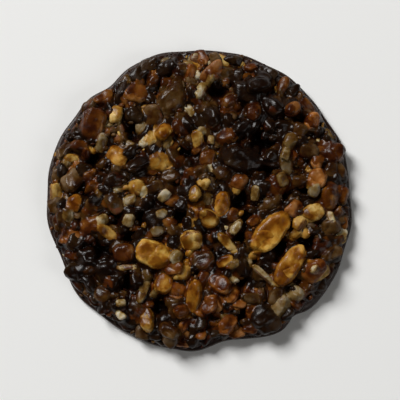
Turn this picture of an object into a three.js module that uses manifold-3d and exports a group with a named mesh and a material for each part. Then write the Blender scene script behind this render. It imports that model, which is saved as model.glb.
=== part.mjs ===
// A florentine: a round biscuit of chopped almonds set in dark caramel, on a foot of dark chocolate.
// Millimetres, +Z up. The origin is on the table, under the middle of the biscuit, which lies flat.
import * as THREE from "three";
import { mergeVertices } from "three/addons/utils/BufferGeometryUtils.js";
import Module from "manifold-3d";

const wasm = await Module();
wasm.setup();

// ---- driving dimensions
const BISCUIT_RADIUS = 32.2; // mean radius of the chocolate foot, the widest part
const FOOT_THICKNESS = 1.5; // dark chocolate under the almonds
const FOOT_LIP = 0.7; // how far the foot stands out all round past the caramel
const CARAMEL_EDGE_HEIGHT = 2.0; // top of the caramel where its shoulder ends
const CARAMEL_MIDDLE_HEIGHT = 4.3; // top of the caramel in the middle, between the almonds
const CARAMEL_UNDERCUT = 0.3; // how far the caramel draws in where it meets the foot
const SWELL = 0.3; // height of the low waves of the caramel's top

// ---- finish of the solids
const CHOCOLATE = { color: 0x2a170e, roughness: 0.42, metalness: 0 };
const CARAMEL = { color: 0x4a2e19, roughness: 0.38, metalness: 0 };

// ---- resolution
const FOOT_SECTORS = 72;
const CARAMEL_SECTORS = 48;
const WELD_DISTANCE = 1e-4; // mm, within which points are one
const SLICE_DETAIL = 1; // of the icosahedra that the almond slices are carved from
const CHUNK_DETAIL = 0; // and the chopped chunks

const TURN = 2 * Math.PI;
const radians = THREE.MathUtils.degToRad;

// The outline is a circle with a few shallow waves, and dents where it baked against the ring's wall.
// A wave is [lobes round the rim, height as a share of the radius, phase in radians].
const OUTLINE_WAVES = [
  [2, 0.006, 0.4],
  [3, 0.005, 2.1],
  [7, 0.005, 5.2],
  [13, 0.0035, 1.1],
  [22, 0.0025, 3.7],
];
// A dent is { at: degrees from +X, depth: mm, spread: degrees to either side }.
const OUTLINE_DENTS = [
  { at: -79, depth: 1.9, spread: 11 },
  { at: -51, depth: 1.0, spread: 4 },
  { at: 4, depth: 0.7, spread: 9 },
  { at: 128, depth: 1.1, spread: 7 },
  { at: 203, depth: 0.8, spread: 8 },
];

function outlineRadius(angle) {
  let radius = BISCUIT_RADIUS;
  for (const [lobes, height, phase] of OUTLINE_WAVES)
    radius += BISCUIT_RADIUS * height * Math.cos(lobes * angle + phase);
  for (const { at, depth, spread } of OUTLINE_DENTS) {
    const turned = angle - radians(at);
    const away = Math.atan2(Math.sin(turned), Math.cos(turned)) / radians(spread);
    radius -= depth * Math.exp(-away * away);
  }
  return radius;
}

// The caramel's top: a flat middle with low waves that rolls over at the rim. A wave is
// [radians per mm along X, radians per mm along Y, phase, share of SWELL].
const SHOULDER_POWER = 6;
const SWELL_WAVES = [
  [0.33, 0.29, 0.7, 0.5],
  [0.33, -0.29, 1.9, 0.5],
  [0.61, -0.52, 2.2, 0.6],
];

function caramelTop(x, y) {
  const rim = outlineRadius(Math.atan2(y, x)) - FOOT_LIP;
  const share = Math.min(1, Math.hypot(x, y) / rim);
  const dome = Math.sqrt(1 - share ** SHOULDER_POWER);
  const waves = SWELL_WAVES.reduce(
    (sum, [alongX, alongY, phase, part]) => sum + part * Math.sin(alongX * x + alongY * y + phase),
    0,
  );
  const middle = CARAMEL_MIDDLE_HEIGHT - CARAMEL_EDGE_HEIGHT + SWELL * waves;
  return CARAMEL_EDGE_HEIGHT + middle * dome;
}

// ---- chance, the same on every run: a number from 0 to 1 for each pair of whole numbers
function chance(index, channel) {
  let h = Math.imul(index + 1, 0x9e3779b1) ^ Math.imul(channel + 1, 0x85ebca77);
  h = Math.imul(h ^ (h >>> 15), 0x2c1b3c6d);
  h = Math.imul(h ^ (h >>> 12), 0x297a2d39);
  return ((h ^ (h >>> 15)) >>> 0) / 2 ** 32;
}

const between = (low, high, share) => low + (high - low) * share;

// ---- almond pieces
// The biggest pieces are slices, laid where they show most.
// [x, y, length, width, turn in degrees], in millimetres.
const LARGEST_PIECES = [
  [-9.8, -11.5, 7.4, 5.7, -22],
  [-1.8, -8.5, 4.8, 4.2, 15],
  [-5.1, -12.2, 3.4, 2.8, 80],
  [14.7, -6.9, 10.2, 5.4, 46],
  [5.2, -13.0, 3.8, 2.3, 25],
  [18.8, -13.9, 9.8, 4.3, 57],
  [23.6, -2.8, 4.8, 3.6, 20],
  [1.8, -4.0, 4.6, 3.6, -40],
  [7.6, -5.8, 3.8, 1.9, 55],
  [-26.4, -0.9, 4.2, 3.0, 70],
  [5.8, -9.2, 5.6, 1.9, -48],
  [-7.6, -17.6, 4.6, 3.6, 70],
  [-11.7, -18.6, 6.6, 1.9, 68],
  [-11.0, -25.2, 5.2, 2.9, 95],
  [-1.2, -20.2, 6.9, 3.2, 82],
  [4.2, -17.7, 5.0, 3.7, -30],
  [24.5, 4.4, 4.6, 3.6, 50],
  [23.6, 16.6, 4.0, 3.0, 60],
  [18.8, 12.2, 4.2, 2.8, 60],
  [-19.4, -6.9, 5.2, 2.4, -40],
  [18.0, 7.4, 4.8, 2.6, 100],
  [4.6, -0.9, 5.2, 3.2, 80],
  [-15.9, -11.2, 4.6, 4.2, 10],
];
const LARGEST_FIRST_INDEX = 1;

// Gaps between the slices, where no scattered piece lies. [x, y, radius], in millimetres.
const HOLLOWS = [
  [13.0, 12.3, 2.3],
  [14.2, 6.0, 2.2],
  [-20.3, -10.9, 2.4],
  [-4.2, -3.1, 1.6],
  [-8.5, -22.4, 1.8],
  [-15.2, -17.2, 1.8],
  [-12.6, -3.2, 1.5],
  [8.6, -8.3, 1.4],
  [16.6, -9.9, 1.2],
  [21.4, 1.5, 1.6],
  [8.8, -16.5, 1.5],
  [-23.0, 1.2, 1.7],
  [3.3, -11.2, 1.2],
  [8.2, 0.2, 1.7],
  [-3.0, 9.5, 2.2],
  [-14.0, 14.0, 2.0],
  [4.0, 22.5, 1.8],
  [-22.5, 8.0, 1.8],
  [-8.5, 24.0, 1.6],
  [20.5, 16.8, 1.1],
  [18.9, -5.6, 1.2],
  [22.8, -8.7, 1.7],
  [11.3, -12.6, 1.4],
  [-17.9, -2.9, 1.1],
  [-14.8, -7.6, 1.3],
  [8.8, -24.4, 1.3],
  [9.9, -3.9, 1.5],
  [17.1, 0.6, 1.3],
];
const HOLLOW_MARGIN = 0.6; // how far a piece's middle keeps off a hollow, in its mean radii

// Batches of scattered pieces, the largest first. Lengths in mm, width and height as shares of the length.
// Two pieces keep apart by crowding times the sum of their mean radii.
const BATCHES = [
  { firstIndex: 1000, tries: 50, length: [4.6, 6.8], crowding: 1.4 },
  { firstIndex: 3000, tries: 900, length: [3.4, 4.8], crowding: 0.98 },
  { firstIndex: 5000, tries: 885, length: [2.4, 3.4], crowding: 0.98 },
];
const WIDTH_SHARE = [0.52, 0.88];
const HEIGHT_SHARE = [0.5, 0.85]; // of the width
const CHUNK_MOST_HEIGHT = 2.9; // mm
const SLICE_MOST_HEIGHT = 2.2;
const TILT = 22; // degrees, most that a piece of TILT_LENGTH leans either way; a longer one leans less
const TILT_LENGTH = 4; // mm
const CHUNK_STANDS_OUT = [-0.15, 0.4]; // where a piece's middle lies above the caramel, in half heights
const SLICE_STANDS_OUT = [0.2, 0.7];
const FOOT_CLEARANCE = 1.25; // least height of a piece's middle above the foot, in half heights
const RIM_MARGIN = 0.35; // mm, least from the caramel's rim to a piece's middle, past half its mean radius

// Small pieces that break up the side between the foot and the shoulder.
const SIDE_PIECES = 36;
const SIDE_FIRST_INDEX = 7000;
const SIDE_LENGTH = [2.2, 3.8]; // mm
const SIDE_HALF_HEIGHT = [0.55, 0.85]; // mm
const SIDE_INSET = [0.8, 1.5]; // mm, from the caramel's rim to a piece's middle
const SIDE_ABOVE_FOOT = [1.0, 1.55]; // mm, from the foot's top to a piece's middle
const SIDE_SPREAD = 0.7; // how far a piece strays round the rim, as a share of their spacing

// Channels of chance: what each draw of a piece decides.
const DRAW = { angle: 0, radius: 1, length: 2, width: 3, height: 4, turn: 5, pitch: 6, roll: 7, lift: 9 };
const FIRST_PLANE_DRAW = 20;

// The largest pieces are slices, and the scattered ones are chopped chunks.
const isSlice = (index) => index < BATCHES[0].firstIndex;

// A piece is { index, x, y, z, half: [length, width, height] / 2, turn, pitch, roll }.
function seatedPiece(index, x, y, length, width, turn) {
  const most = isSlice(index) ? SLICE_MOST_HEIGHT : CHUNK_MOST_HEIGHT;
  const height = Math.min(most, width * between(...HEIGHT_SHARE, chance(index, DRAW.height)));
  const half = [length / 2, width / 2, height / 2];
  const tilt = radians(TILT) * Math.min(1, TILT_LENGTH / length);
  const standsOut = isSlice(index) ? SLICE_STANDS_OUT : CHUNK_STANDS_OUT;
  const lift = between(...standsOut, chance(index, DRAW.lift));
  const lowest = FOOT_THICKNESS + FOOT_CLEARANCE * half[2];
  return {
    index,
    x,
    y,
    z: Math.max(lowest, caramelTop(x, y) + lift * half[2]),
    half,
    turn,
    pitch: between(-tilt, tilt, chance(index, DRAW.pitch)),
    roll: between(-tilt, tilt, chance(index, DRAW.roll)),
  };
}

const meanRadius = (piece) => (piece.half[0] + piece.half[1]) / 2;

function placePieces() {
  const placed = LARGEST_PIECES.map(([x, y, length, width, turn], i) =>
    seatedPiece(LARGEST_FIRST_INDEX + i, x, y, length, width, radians(turn)),
  );
  for (const { firstIndex, tries, length, crowding } of BATCHES)
    for (let n = 0; n < tries; n++) {
      const index = firstIndex + n;
      const long = between(...length, chance(index, DRAW.length));
      const wide = long * between(...WIDTH_SHARE, chance(index, DRAW.width));
      const radius = (long + wide) / 4;
      const angle = TURN * chance(index, DRAW.angle);
      const reach = outlineRadius(angle) - FOOT_LIP - RIM_MARGIN - radius / 2;
      const away = reach * Math.sqrt(chance(index, DRAW.radius));
      const [x, y] = [away * Math.cos(angle), away * Math.sin(angle)];
      const free = placed.every(
        (other) => Math.hypot(other.x - x, other.y - y) > crowding * (meanRadius(other) + radius),
      );
      const clear = HOLLOWS.every(
        ([hollowX, hollowY, r]) => Math.hypot(hollowX - x, hollowY - y) > r + HOLLOW_MARGIN * radius,
      );
      const turn = TURN * chance(index, DRAW.turn);
      if (free && clear) placed.push(seatedPiece(index, x, y, long, wide, turn));
    }
  return placed;
}

function placeSidePieces() {
  return Array.from({ length: SIDE_PIECES }, (_, n) => {
    const index = SIDE_FIRST_INDEX + n;
    const angle = (TURN * (n + SIDE_SPREAD * chance(index, DRAW.angle))) / SIDE_PIECES;
    const long = between(...SIDE_LENGTH, chance(index, DRAW.length));
    const wide = long * between(...WIDTH_SHARE, chance(index, DRAW.width));
    const half = [long / 2, wide / 2, between(...SIDE_HALF_HEIGHT, chance(index, DRAW.height))];
    const inset = between(...SIDE_INSET, chance(index, DRAW.radius));
    const away = outlineRadius(angle) - FOOT_LIP - inset;
    return {
      index,
      x: away * Math.cos(angle),
      y: away * Math.sin(angle),
      z: FOOT_THICKNESS + between(...SIDE_ABOVE_FOOT, chance(index, DRAW.lift)),
      half,
      turn: angle + Math.PI / 2,
      pitch: 0,
      roll: 0,
    };
  });
}

// A piece is a ball between flat cuts, stretched: six sides of a box, a little askew, and four cut
// corners. Along a direction, its surface lies at the soft minimum of the ball and the cuts. A slice's
// ball is small but tall, so it is an oval with two flat faces.
const BOX_CUTS = [
  [1, 0, 0],
  [-1, 0, 0],
  [0, 1, 0],
  [0, -1, 0],
  [0, 0, 1],
  [0, 0, -1],
];
const CORNER_CUTS = 4;
const CUT_SKEW = 0.38; // how far a side's normal strays
const CUT_SHARPNESS = 18; // the higher, the sharper the edges between cuts
const SLICE_BALL = { radius: 1.06, rise: 0.55 }; // in half sizes, and how much a height counts against it
const CHUNK_BALL = { radius: 1.3, rise: 1 };
const SIDE_DISTANCE = [0.92, 1.1]; // from the middle to a box side, in half sizes
const CORNER_DISTANCE = [0.92, 1.15];

function cutsOf(index) {
  const draw = (k, n) => 2 * chance(index, FIRST_PLANE_DRAW + 4 * k + n) - 1;
  const cuts = BOX_CUTS.map((side, k) => ({
    normal: new THREE.Vector3(...side.map((s, n) => s + CUT_SKEW * draw(k, n))).normalize(),
    distance: between(...SIDE_DISTANCE, chance(index, FIRST_PLANE_DRAW + 4 * k + 3)),
  }));
  for (let k = BOX_CUTS.length; k < BOX_CUTS.length + CORNER_CUTS; k++)
    cuts.push({
      normal: new THREE.Vector3(draw(k, 0), draw(k, 1), draw(k, 2)).normalize(),
      distance: between(...CORNER_DISTANCE, chance(index, FIRST_PLANE_DRAW + 4 * k + 3)),
    });
  return cuts;
}

function stoneRadius(direction, cuts, ball) {
  const { x, y, z } = direction;
  const fromBall = Math.hypot(x, y, ball.rise * z) / ball.radius;
  const sum = cuts.reduce(
    (total, { normal, distance }) =>
      total + Math.max(0, normal.dot(direction) / distance) ** CUT_SHARPNESS,
    fromBall ** CUT_SHARPNESS,
  );
  return sum ** (-1 / CUT_SHARPNESS);
}

function pieceGeometry(piece) {
  const ball = isSlice(piece.index) ? SLICE_BALL : CHUNK_BALL;
  const detail = isSlice(piece.index) ? SLICE_DETAIL : CHUNK_DETAIL;
  const geometry = bare(new THREE.IcosahedronGeometry(1, detail));
  const points = geometry.getAttribute("position");
  const cuts = cutsOf(piece.index);
  const point = new THREE.Vector3();
  for (let i = 0; i < points.count; i++) {
    point.fromBufferAttribute(points, i).normalize();
    point.multiplyScalar(stoneRadius(point, cuts, ball));
    points.setXYZ(i, ...point);
  }
  const turned = new THREE.Euler(piece.roll, piece.pitch, piece.turn, "ZYX");
  return geometry.applyMatrix4(
    new THREE.Matrix4().compose(
      new THREE.Vector3(piece.x, piece.y, piece.z),
      new THREE.Quaternion().setFromEuler(turned),
      new THREE.Vector3(...piece.half),
    ),
  );
}

// ---- closed surfaces
function bare(geometry) {
  const copy = geometry.clone();
  copy.deleteAttribute("normal");
  copy.deleteAttribute("uv");
  return mergeVertices(copy, WELD_DISTANCE);
}

// Joins rings of equally many points, from the lowest inwards, and closes both ends with flat caps.
function loft(rings) {
  const count = rings[0].length;
  const points = rings.flat();
  const faces = [];
  for (let r = 0; r + 1 < rings.length; r++)
    for (let s = 0; s < count; s++) {
      const [a, b] = [r * count + s, r * count + ((s + 1) % count)];
      faces.push(a, b, b + count, a, b + count, a + count);
    }
  const flat = (ring) => ring.map((p) => new THREE.Vector2(p.x, p.y));
  const first = THREE.ShapeUtils.triangulateShape(flat(rings[0]), []);
  first.forEach(([a, b, c]) => faces.push(c, b, a));
  const offset = (rings.length - 1) * count;
  const last = THREE.ShapeUtils.triangulateShape(flat(rings.at(-1)), []);
  last.forEach(([a, b, c]) => faces.push(offset + a, offset + b, offset + c));
  return new THREE.BufferGeometry().setFromPoints(points).setIndex(faces);
}

// A ring of points: radiusAt and heightAt give each point's place from its angle.
function ring(sectors, radiusAt, heightAt) {
  return Array.from({ length: sectors }, (_, s) => {
    const angle = (TURN * s) / sectors;
    const [x, y] = [radiusAt(angle) * Math.cos(angle), radiusAt(angle) * Math.sin(angle)];
    return new THREE.Vector3(x, y, heightAt(x, y));
  });
}

const solidOf = (geometry) =>
  new wasm.Manifold(
    new wasm.Mesh({
      numProp: 3,
      vertProperties: geometry.getAttribute("position").array,
      triVerts: new Uint32Array(geometry.index.array),
    }),
  );

function geometryOf(solid) {
  const { vertProperties, triVerts } = solid.getMesh();
  return new THREE.BufferGeometry()
    .setAttribute("position", new THREE.BufferAttribute(vertProperties, 3))
    .setIndex(new THREE.BufferAttribute(triVerts, 1));
}

// ---- the two layers
// The foot's edge: [share of its thickness, how far inside the outline] from the table up.
const FOOT_EDGE = [
  [0, 1.1],
  [0.18, 0.35],
  [0.5, 0],
  [0.82, 0.15],
  [1, 0.5],
];

function chocolateFoot() {
  return loft(
    FOOT_EDGE.map(([share, inside]) =>
      ring(
        FOOT_SECTORS,
        (angle) => outlineRadius(angle) - inside,
        () => share * FOOT_THICKNESS,
      ),
    ),
  );
}

// Where the caramel's top gets a ring of points, as shares of the way from the middle to the rim.
const TOP_RINGS = [0.985, 0.93, 0.83, 0.68, 0.5, 0.3, 0.1];

function caramelCore() {
  const rim = (angle) => outlineRadius(angle) - FOOT_LIP;
  return loft([
    ring(
      CARAMEL_SECTORS,
      (angle) => rim(angle) - CARAMEL_UNDERCUT,
      () => FOOT_THICKNESS,
    ),
    ring(
      CARAMEL_SECTORS,
      rim,
      () => CARAMEL_EDGE_HEIGHT,
    ),
    ...TOP_RINGS.map((share) => ring(CARAMEL_SECTORS, (angle) => share * rim(angle), caramelTop)),
  ]);
}

function almondLayer() {
  const pieces = [...placePieces(), ...placeSidePieces()];
  const solids = pieces.map((piece) => solidOf(pieceGeometry(piece)));
  return geometryOf(wasm.Manifold.union([solidOf(caramelCore()), ...solids]));
}

function named(name, geometry, finish) {
  const mesh = new THREE.Mesh(geometry, new THREE.MeshStandardMaterial(finish));
  mesh.name = name;
  return mesh;
}

const florentine = new THREE.Group();
florentine.add(
  named("chocolate_foot", chocolateFoot(), CHOCOLATE),
  named("almond_layer", almondLayer(), CARAMEL),
);

export default florentine;
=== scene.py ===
"""A florentine: chopped almonds set in dark caramel on a foot of dark chocolate.

Sizes are millimetres until a mesh is made, unless a comment gives another unit, and every mesh lies in the
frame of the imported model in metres. The outline, the caramel's level and the places of the almond pieces
repeat the rules of the part's source, so each piece lies round its own solid.
"""

import itertools
import logging
import math
from collections.abc import Callable, Iterable
from dataclasses import dataclass, field, fields
from enum import Enum
from functools import partial
from typing import Any

import bpy
import numpy as np
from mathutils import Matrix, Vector


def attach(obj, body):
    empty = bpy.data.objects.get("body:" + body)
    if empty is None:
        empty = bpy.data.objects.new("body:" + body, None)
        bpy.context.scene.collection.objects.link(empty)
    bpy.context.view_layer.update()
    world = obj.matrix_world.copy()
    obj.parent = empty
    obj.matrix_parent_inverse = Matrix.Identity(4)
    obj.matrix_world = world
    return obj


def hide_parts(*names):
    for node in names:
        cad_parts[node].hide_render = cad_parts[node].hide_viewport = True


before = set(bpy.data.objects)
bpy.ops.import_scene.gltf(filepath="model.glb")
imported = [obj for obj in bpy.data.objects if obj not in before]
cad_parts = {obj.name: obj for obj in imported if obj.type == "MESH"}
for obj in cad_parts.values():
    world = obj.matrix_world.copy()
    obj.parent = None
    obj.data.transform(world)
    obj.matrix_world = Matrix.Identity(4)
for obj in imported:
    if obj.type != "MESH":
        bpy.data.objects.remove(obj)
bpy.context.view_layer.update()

Array = np.ndarray
Pair = tuple[float, float]
Triple = tuple[float, float, float]

LOG = logging.getLogger("florentine")
MM = 0.001
TURN = 2 * math.pi
ALMOND_NODE, FOOT_NODE = "almond_layer", "chocolate_foot"


# ------------------------------------------------------------------------------------ chance and measure
WORD = 0xFFFFFFFF  # the bits of one hashed word
INDEX_FACTOR, CHANNEL_FACTOR = 0x9E3779B1, 0x85EBCA77
MIXERS = ((15, 0x2C1B3C6D), (12, 0x297A2D39))  # how far a word is shifted on to itself, and its factor then
LAST_SHIFT = 15
LATTICE_FACTORS = (73856093, 19349663, 83492791)
EVEN_STEPS = (0.7548776662, 0.5698402910)  # their multiples' fractions cover a square evenly


class Draw:
    """The channels of chance: what each draw of a piece decides."""

    ANGLE, AWAY, LENGTH, WIDTH, HEIGHT, TURN, PITCH, ROLL, TONE, LIFT = range(10)
    SHADE, SKIN, SKIN_SIDE, STREAK, DIP, DIP_SIDE, BLUSH = range(10, 17)
    FIRST_CUT = 20


class Noise:
    """The channels of noise: where each use of it begins."""

    STONE, LOBES, DIP, GRAINS, BED, FILM, GLAZE, HOLLOW = 0, 3, 5, 40, 60, 70, 80, 90


def chance(index: Array, channel: Array | int) -> Array:
    """Draws the same number from 0 to 1 on every run for each pair of whole numbers, by a 32-bit hash.

    Args:
        index: what is drawn for, such as a piece's number.
        channel: which of its draws this is.

    Returns:
        The draws, in the shape that index and channel broadcast to.
    """
    first = (np.asarray(index).astype(np.int64) + 1 & WORD) * INDEX_FACTOR & WORD
    second = (np.asarray(channel).astype(np.int64) + 1 & WORD) * CHANNEL_FACTOR & WORD
    mixed = first ^ second
    for shift, factor in MIXERS:
        mixed = (mixed ^ mixed >> shift) * factor & WORD
    return (mixed ^ mixed >> LAST_SHIFT) / 2.0**32


def between(span: Pair, share: Array) -> Array:
    """Gives the value that lies that share of the way along a span."""
    return span[0] + (span[1] - span[0]) * share


def smooth_step(value: Array, low: float, high: float) -> Array:
    """Rises from 0 at low to 1 at high as 3 s^2 - 2 s^3."""
    share = np.clip((value - low) / (high - low), 0, 1)
    return share * share * (3 - 2 * share)


def at_angle(away: Array, angle: Array) -> Array:
    """Gives the places at a distance from the Z axis and an angle about it, with x and y last."""
    return np.stack([away * np.cos(angle), away * np.sin(angle)], axis=-1)


def even_square(number: Array) -> tuple[Array, Array]:
    """Spreads numbered places evenly over a unit square: the fractions of 1/2 + n times two steps."""
    u, v = ((0.5 + number * step) % 1 for step in EVEN_STEPS)
    return u, v


def drawn_sizes(index: Array, length: Pair, width_share: Pair, height_share: Pair, power: float = 1) -> Array:
    """Draws the sizes of pieces.

    Args:
        index: their numbers.
        length: the shortest and the longest.
        width_share: the least and greatest share that the width is of the length.
        height_share: the same for the height and the width.
        power: of the draw of the length: the higher, the more short ones.

    Returns:
        Length, width and height, n by 3.
    """
    long = between(length, chance(index, Draw.LENGTH) ** power)
    wide = long * between(width_share, chance(index, Draw.WIDTH))
    return np.column_stack([long, wide, wide * between(height_share, chance(index, Draw.HEIGHT))])


def drawn_lean(index: Array, tilt: Array | float) -> tuple[Array, Array]:
    """Draws the pitch and the roll of pieces, each up to the tilt either way."""
    pitch, roll = (tilt * (2 * chance(index, channel) - 1) for channel in (Draw.PITCH, Draw.ROLL))
    return pitch, roll


def lattice_chance(corners: Array, channel: int) -> Array:
    """Draws a number for each corner of a cubic lattice: its three whole numbers make one index."""
    x, y, z = np.moveaxis(corners.astype(np.int64) * LATTICE_FACTORS, -1, 0)
    return chance((x ^ y ^ z) & WORD, channel)


def rolling_noise(points: Array, cell: float, channel: int) -> Array:
    """Gives smooth noise from -1 to 1.

    The draws at the corners of each cube are blended by 3 s^2 - 2 s^3 along each axis.

    Args:
        points: places in mm, with x, y and z last.
        cell: the side of a cube, mm.
        channel: which field of noise this is.

    Returns:
        The noise at each place.
    """
    scaled = points / cell
    base = np.floor(scaled)
    share = smooth_step(scaled - base, 0, 1)
    total = np.zeros(points.shape[:-1])
    for step in itertools.product((0, 1), repeat=3):
        weight = np.prod(np.where(np.array(step) == 1, share, 1 - share), axis=-1)
        total += weight * lattice_chance(base + step, channel)
    return 2 * total - 1


def layered_noise(points: Array, layers: Iterable[Pair], channel: int, start: Array | float = 0) -> Array:
    """Adds up sizes of noise.

    Args:
        points: places in mm, with x, y and z last.
        layers: the cell of each size in mm, and its swing.
        channel: the first one's field.
        start: what they are added to.

    Returns:
        The sum at each place.
    """
    each = (swing * rolling_noise(points, cell, channel + k) for k, (cell, swing) in enumerate(layers))
    return sum(each, start)


def grain_distance(points: Array, cell: float, channel: int) -> Array:
    """Gives the distance to the nearest grain's middle, in cells: each cube holds one, drawn at random.

    Args:
        points: places in mm, with x, y and z last.
        cell: the side of a cube, which is the grains' mean spacing, mm.
        channel: which field of grains this is.

    Returns:
        The distance at each place, 0 at a middle and about 1 in the creases.
    """
    scaled = points / cell
    base = np.floor(scaled)
    nearest = np.full(points.shape[:-1], np.inf)
    for step in itertools.product((-1, 0, 1), repeat=3):
        corner = base + step
        middle = np.stack([lattice_chance(corner, channel + axis) for axis in range(3)], axis=-1)
        nearest = np.minimum(nearest, ((corner + middle - scaled) ** 2).sum(axis=-1))
    return np.sqrt(nearest)


# ------------------------------------------------------------------------------------ meshes
@dataclass
class Shell:
    """A closed surface being made: its points, its triangles and one mark a point for each named pattern."""

    points: Array
    triangles: Array
    marks: dict[str, Array] = field(default_factory=dict)

    @staticmethod
    def joined(shells: list["Shell"]) -> "Shell":
        """Puts shells into one, moving each one's triangles past the points before them.

        Args:
            shells: what is joined, all with the same marks.

        Returns:
            The one shell.
        """
        offsets = np.cumsum([0] + [len(s.points) for s in shells[:-1]])
        triangles = [s.triangles + offset for s, offset in zip(shells, offsets)]
        marks = {name: np.concatenate([s.marks[name] for s in shells]) for name in shells[0].marks}
        return Shell(np.concatenate([s.points for s in shells]), np.concatenate(triangles), marks)

    def to_object(self, name: str, material: bpy.types.Material) -> bpy.types.Object:
        """Makes a smooth-shaded mesh object at the origin, its points in metres and its marks as attributes.

        Args:
            name: the piece's name.
            material: its only finish.

        Returns:
            The object, linked to the scene.
        """
        mesh = bpy.data.meshes.new(name)
        mesh.vertices.add(len(self.points))
        mesh.vertices.foreach_set("co", (self.points * MM).astype(np.float32).ravel())
        mesh.loops.add(self.triangles.size)
        mesh.loops.foreach_set("vertex_index", self.triangles.astype(np.int32).ravel())
        mesh.polygons.add(len(self.triangles))
        mesh.polygons.foreach_set("loop_start", np.arange(0, self.triangles.size, 3, dtype=np.int32))
        mesh.polygons.foreach_set("use_smooth", np.ones(len(self.triangles), bool))
        mesh.update(calc_edges=True)
        mesh.validate()
        for mark, values in self.marks.items():
            kind, field_name = ("FLOAT", "value") if values.ndim == 1 else ("FLOAT_VECTOR", "vector")
            made_mark = mesh.attributes.new(mark, kind, "POINT")
            made_mark.data.foreach_set(field_name, values.astype(np.float32).ravel())
        mesh.materials.append(material)
        made = bpy.data.objects.new(name, mesh)
        bpy.context.scene.collection.objects.link(made)
        return made


def quads_as_triangles(a: Array, b: Array, c: Array, d: Array) -> Array:
    """Splits quads, given by the numbers of their corners in turn, into two triangles each."""
    halves = [np.stack(corners, axis=-1).reshape(-1, 3) for corners in ([a, b, c], [a, c, d])]
    return np.concatenate(halves)


def band_triangles(rows: int, columns: int) -> Array:
    """Joins a grid of points, row after row, whose columns run round and close on themselves.

    Args:
        rows: how many rings there are.
        columns: how many points each ring has.

    Returns:
        The triangles as numbers of points, n by 3.
    """
    row, column = np.meshgrid(np.arange(rows - 1), np.arange(columns), indexing="ij")
    after = (column + 1) % columns
    a, b = row * columns + column, row * columns + after
    return quads_as_triangles(a, b, b + columns, a + columns)


def fan_triangles(ring: Array, middle: int, inwards: bool) -> Array:
    """Closes a ring of points with a fan to one middle point.

    Args:
        ring: the numbers of the ring's points.
        middle: the number of the middle point.
        inwards: whether the fan is turned over.

    Returns:
        The triangles as numbers of points, n by 3.
    """
    after = np.roll(ring, -1)
    middles = np.full_like(ring, middle)
    return np.stack([ring, middles, after] if inwards else [ring, after, middles], axis=-1)


# ------------------------------------------------------------------------------------ outline
@dataclass(frozen=True)
class Outline:
    """The biscuit from above: a circle with shallow waves, and dents where it baked against its ring."""

    radius: float = 32.2
    waves: tuple[Triple, ...] = (  # lobes round the rim, share of the radius, phase
        (2, 0.006, 0.4),
        (3, 0.005, 2.1),
        (7, 0.005, 5.2),
        (13, 0.0035, 1.1),
        (22, 0.0025, 3.7),
    )
    dents: tuple[Triple, ...] = (  # degrees from +X, depth in mm, degrees to either side
        (-79, 1.9, 11),
        (-51, 1.0, 4),
        (4, 0.7, 9),
        (128, 1.1, 7),
        (203, 0.8, 8),
    )

    def radius_at(self, angle: Array) -> Array:
        """Gives r(a) = R (1 + sum h cos(n a + p)) - sum d exp(-((a - a0) / w)^2), mm.

        Args:
            angle: radians about Z.

        Returns:
            The radius at each angle.
        """
        radius = np.full(np.shape(angle), self.radius)
        for lobes, height, phase in self.waves:
            radius = radius + self.radius * height * np.cos(lobes * angle + phase)
        for at, depth, spread in self.dents:
            turned = angle - math.radians(at)
            away = np.arctan2(np.sin(turned), np.cos(turned)) / math.radians(spread)
            radius = radius - depth * np.exp(-away * away)
        return radius


@dataclass(frozen=True)
class CaramelLevel:
    """The level of the caramel's top, which the almond pieces are seated by."""

    outline: Outline
    foot_top: float = 1.5
    foot_lip: float = 0.7  # how far the foot stands out past the caramel
    edge_height: float = 2.0
    middle_height: float = 4.3
    swell: float = 0.3  # height of the crossing waves
    shoulder_power: float = 6  # the higher, the flatter the middle and the tighter the shoulder
    swell_waves: tuple[tuple[float, float, float, float], ...] = (  # rad/mm along X, along Y, phase, share
        (0.33, 0.29, 0.7, 0.5),
        (0.33, -0.29, 1.9, 0.5),
        (0.61, -0.52, 2.2, 0.6),
    )

    def rim_at(self, angle: Array) -> Array:
        """Gives the caramel's own rim, which the foot stands out past."""
        return self.outline.radius_at(angle) - self.foot_lip

    def rise(self, x: Array, y: Array) -> Array:
        """Gives how far the middle stands above the edge: a constant and three low crossing waves."""
        waves = sum(part * np.sin(ax * x + ay * y + phase) for ax, ay, phase, part in self.swell_waves)
        return self.middle_height - self.edge_height + self.swell * waves

    def top(self, x: Array, y: Array) -> Array:
        """Gives z = edge + rise * sqrt(1 - s^p), where s is the share of the way to the rim."""
        share = np.minimum(1, np.hypot(x, y) / self.rim_at(np.arctan2(y, x)))
        return self.edge_height + self.rise(x, y) * np.sqrt(1 - share**self.shoulder_power)


# ------------------------------------------------------------------------------------ chopped almonds
class Tone(Enum):
    """How far a piece of almond was roasted and stained."""

    PALE = "pale"
    GOLD = "gold"
    AMBER = "amber"
    TAN = "tan"
    COPPER = "copper"
    RUST = "rust"
    BROWN = "brown"
    DARK = "dark"


PieceRow = tuple[float, float, float, float, float, Tone]  # x, y, length, width, turn in degrees, tone


@dataclass(frozen=True)
class Roast:
    """A tone: the nut's colour where it took least and most heat, and its caramel against the mean, mm.

    The coat is how much thicker the clinging caramel is, and the cover how much higher the film lies on it.
    """

    light: str
    deep: str
    coat: float
    cover: float


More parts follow.
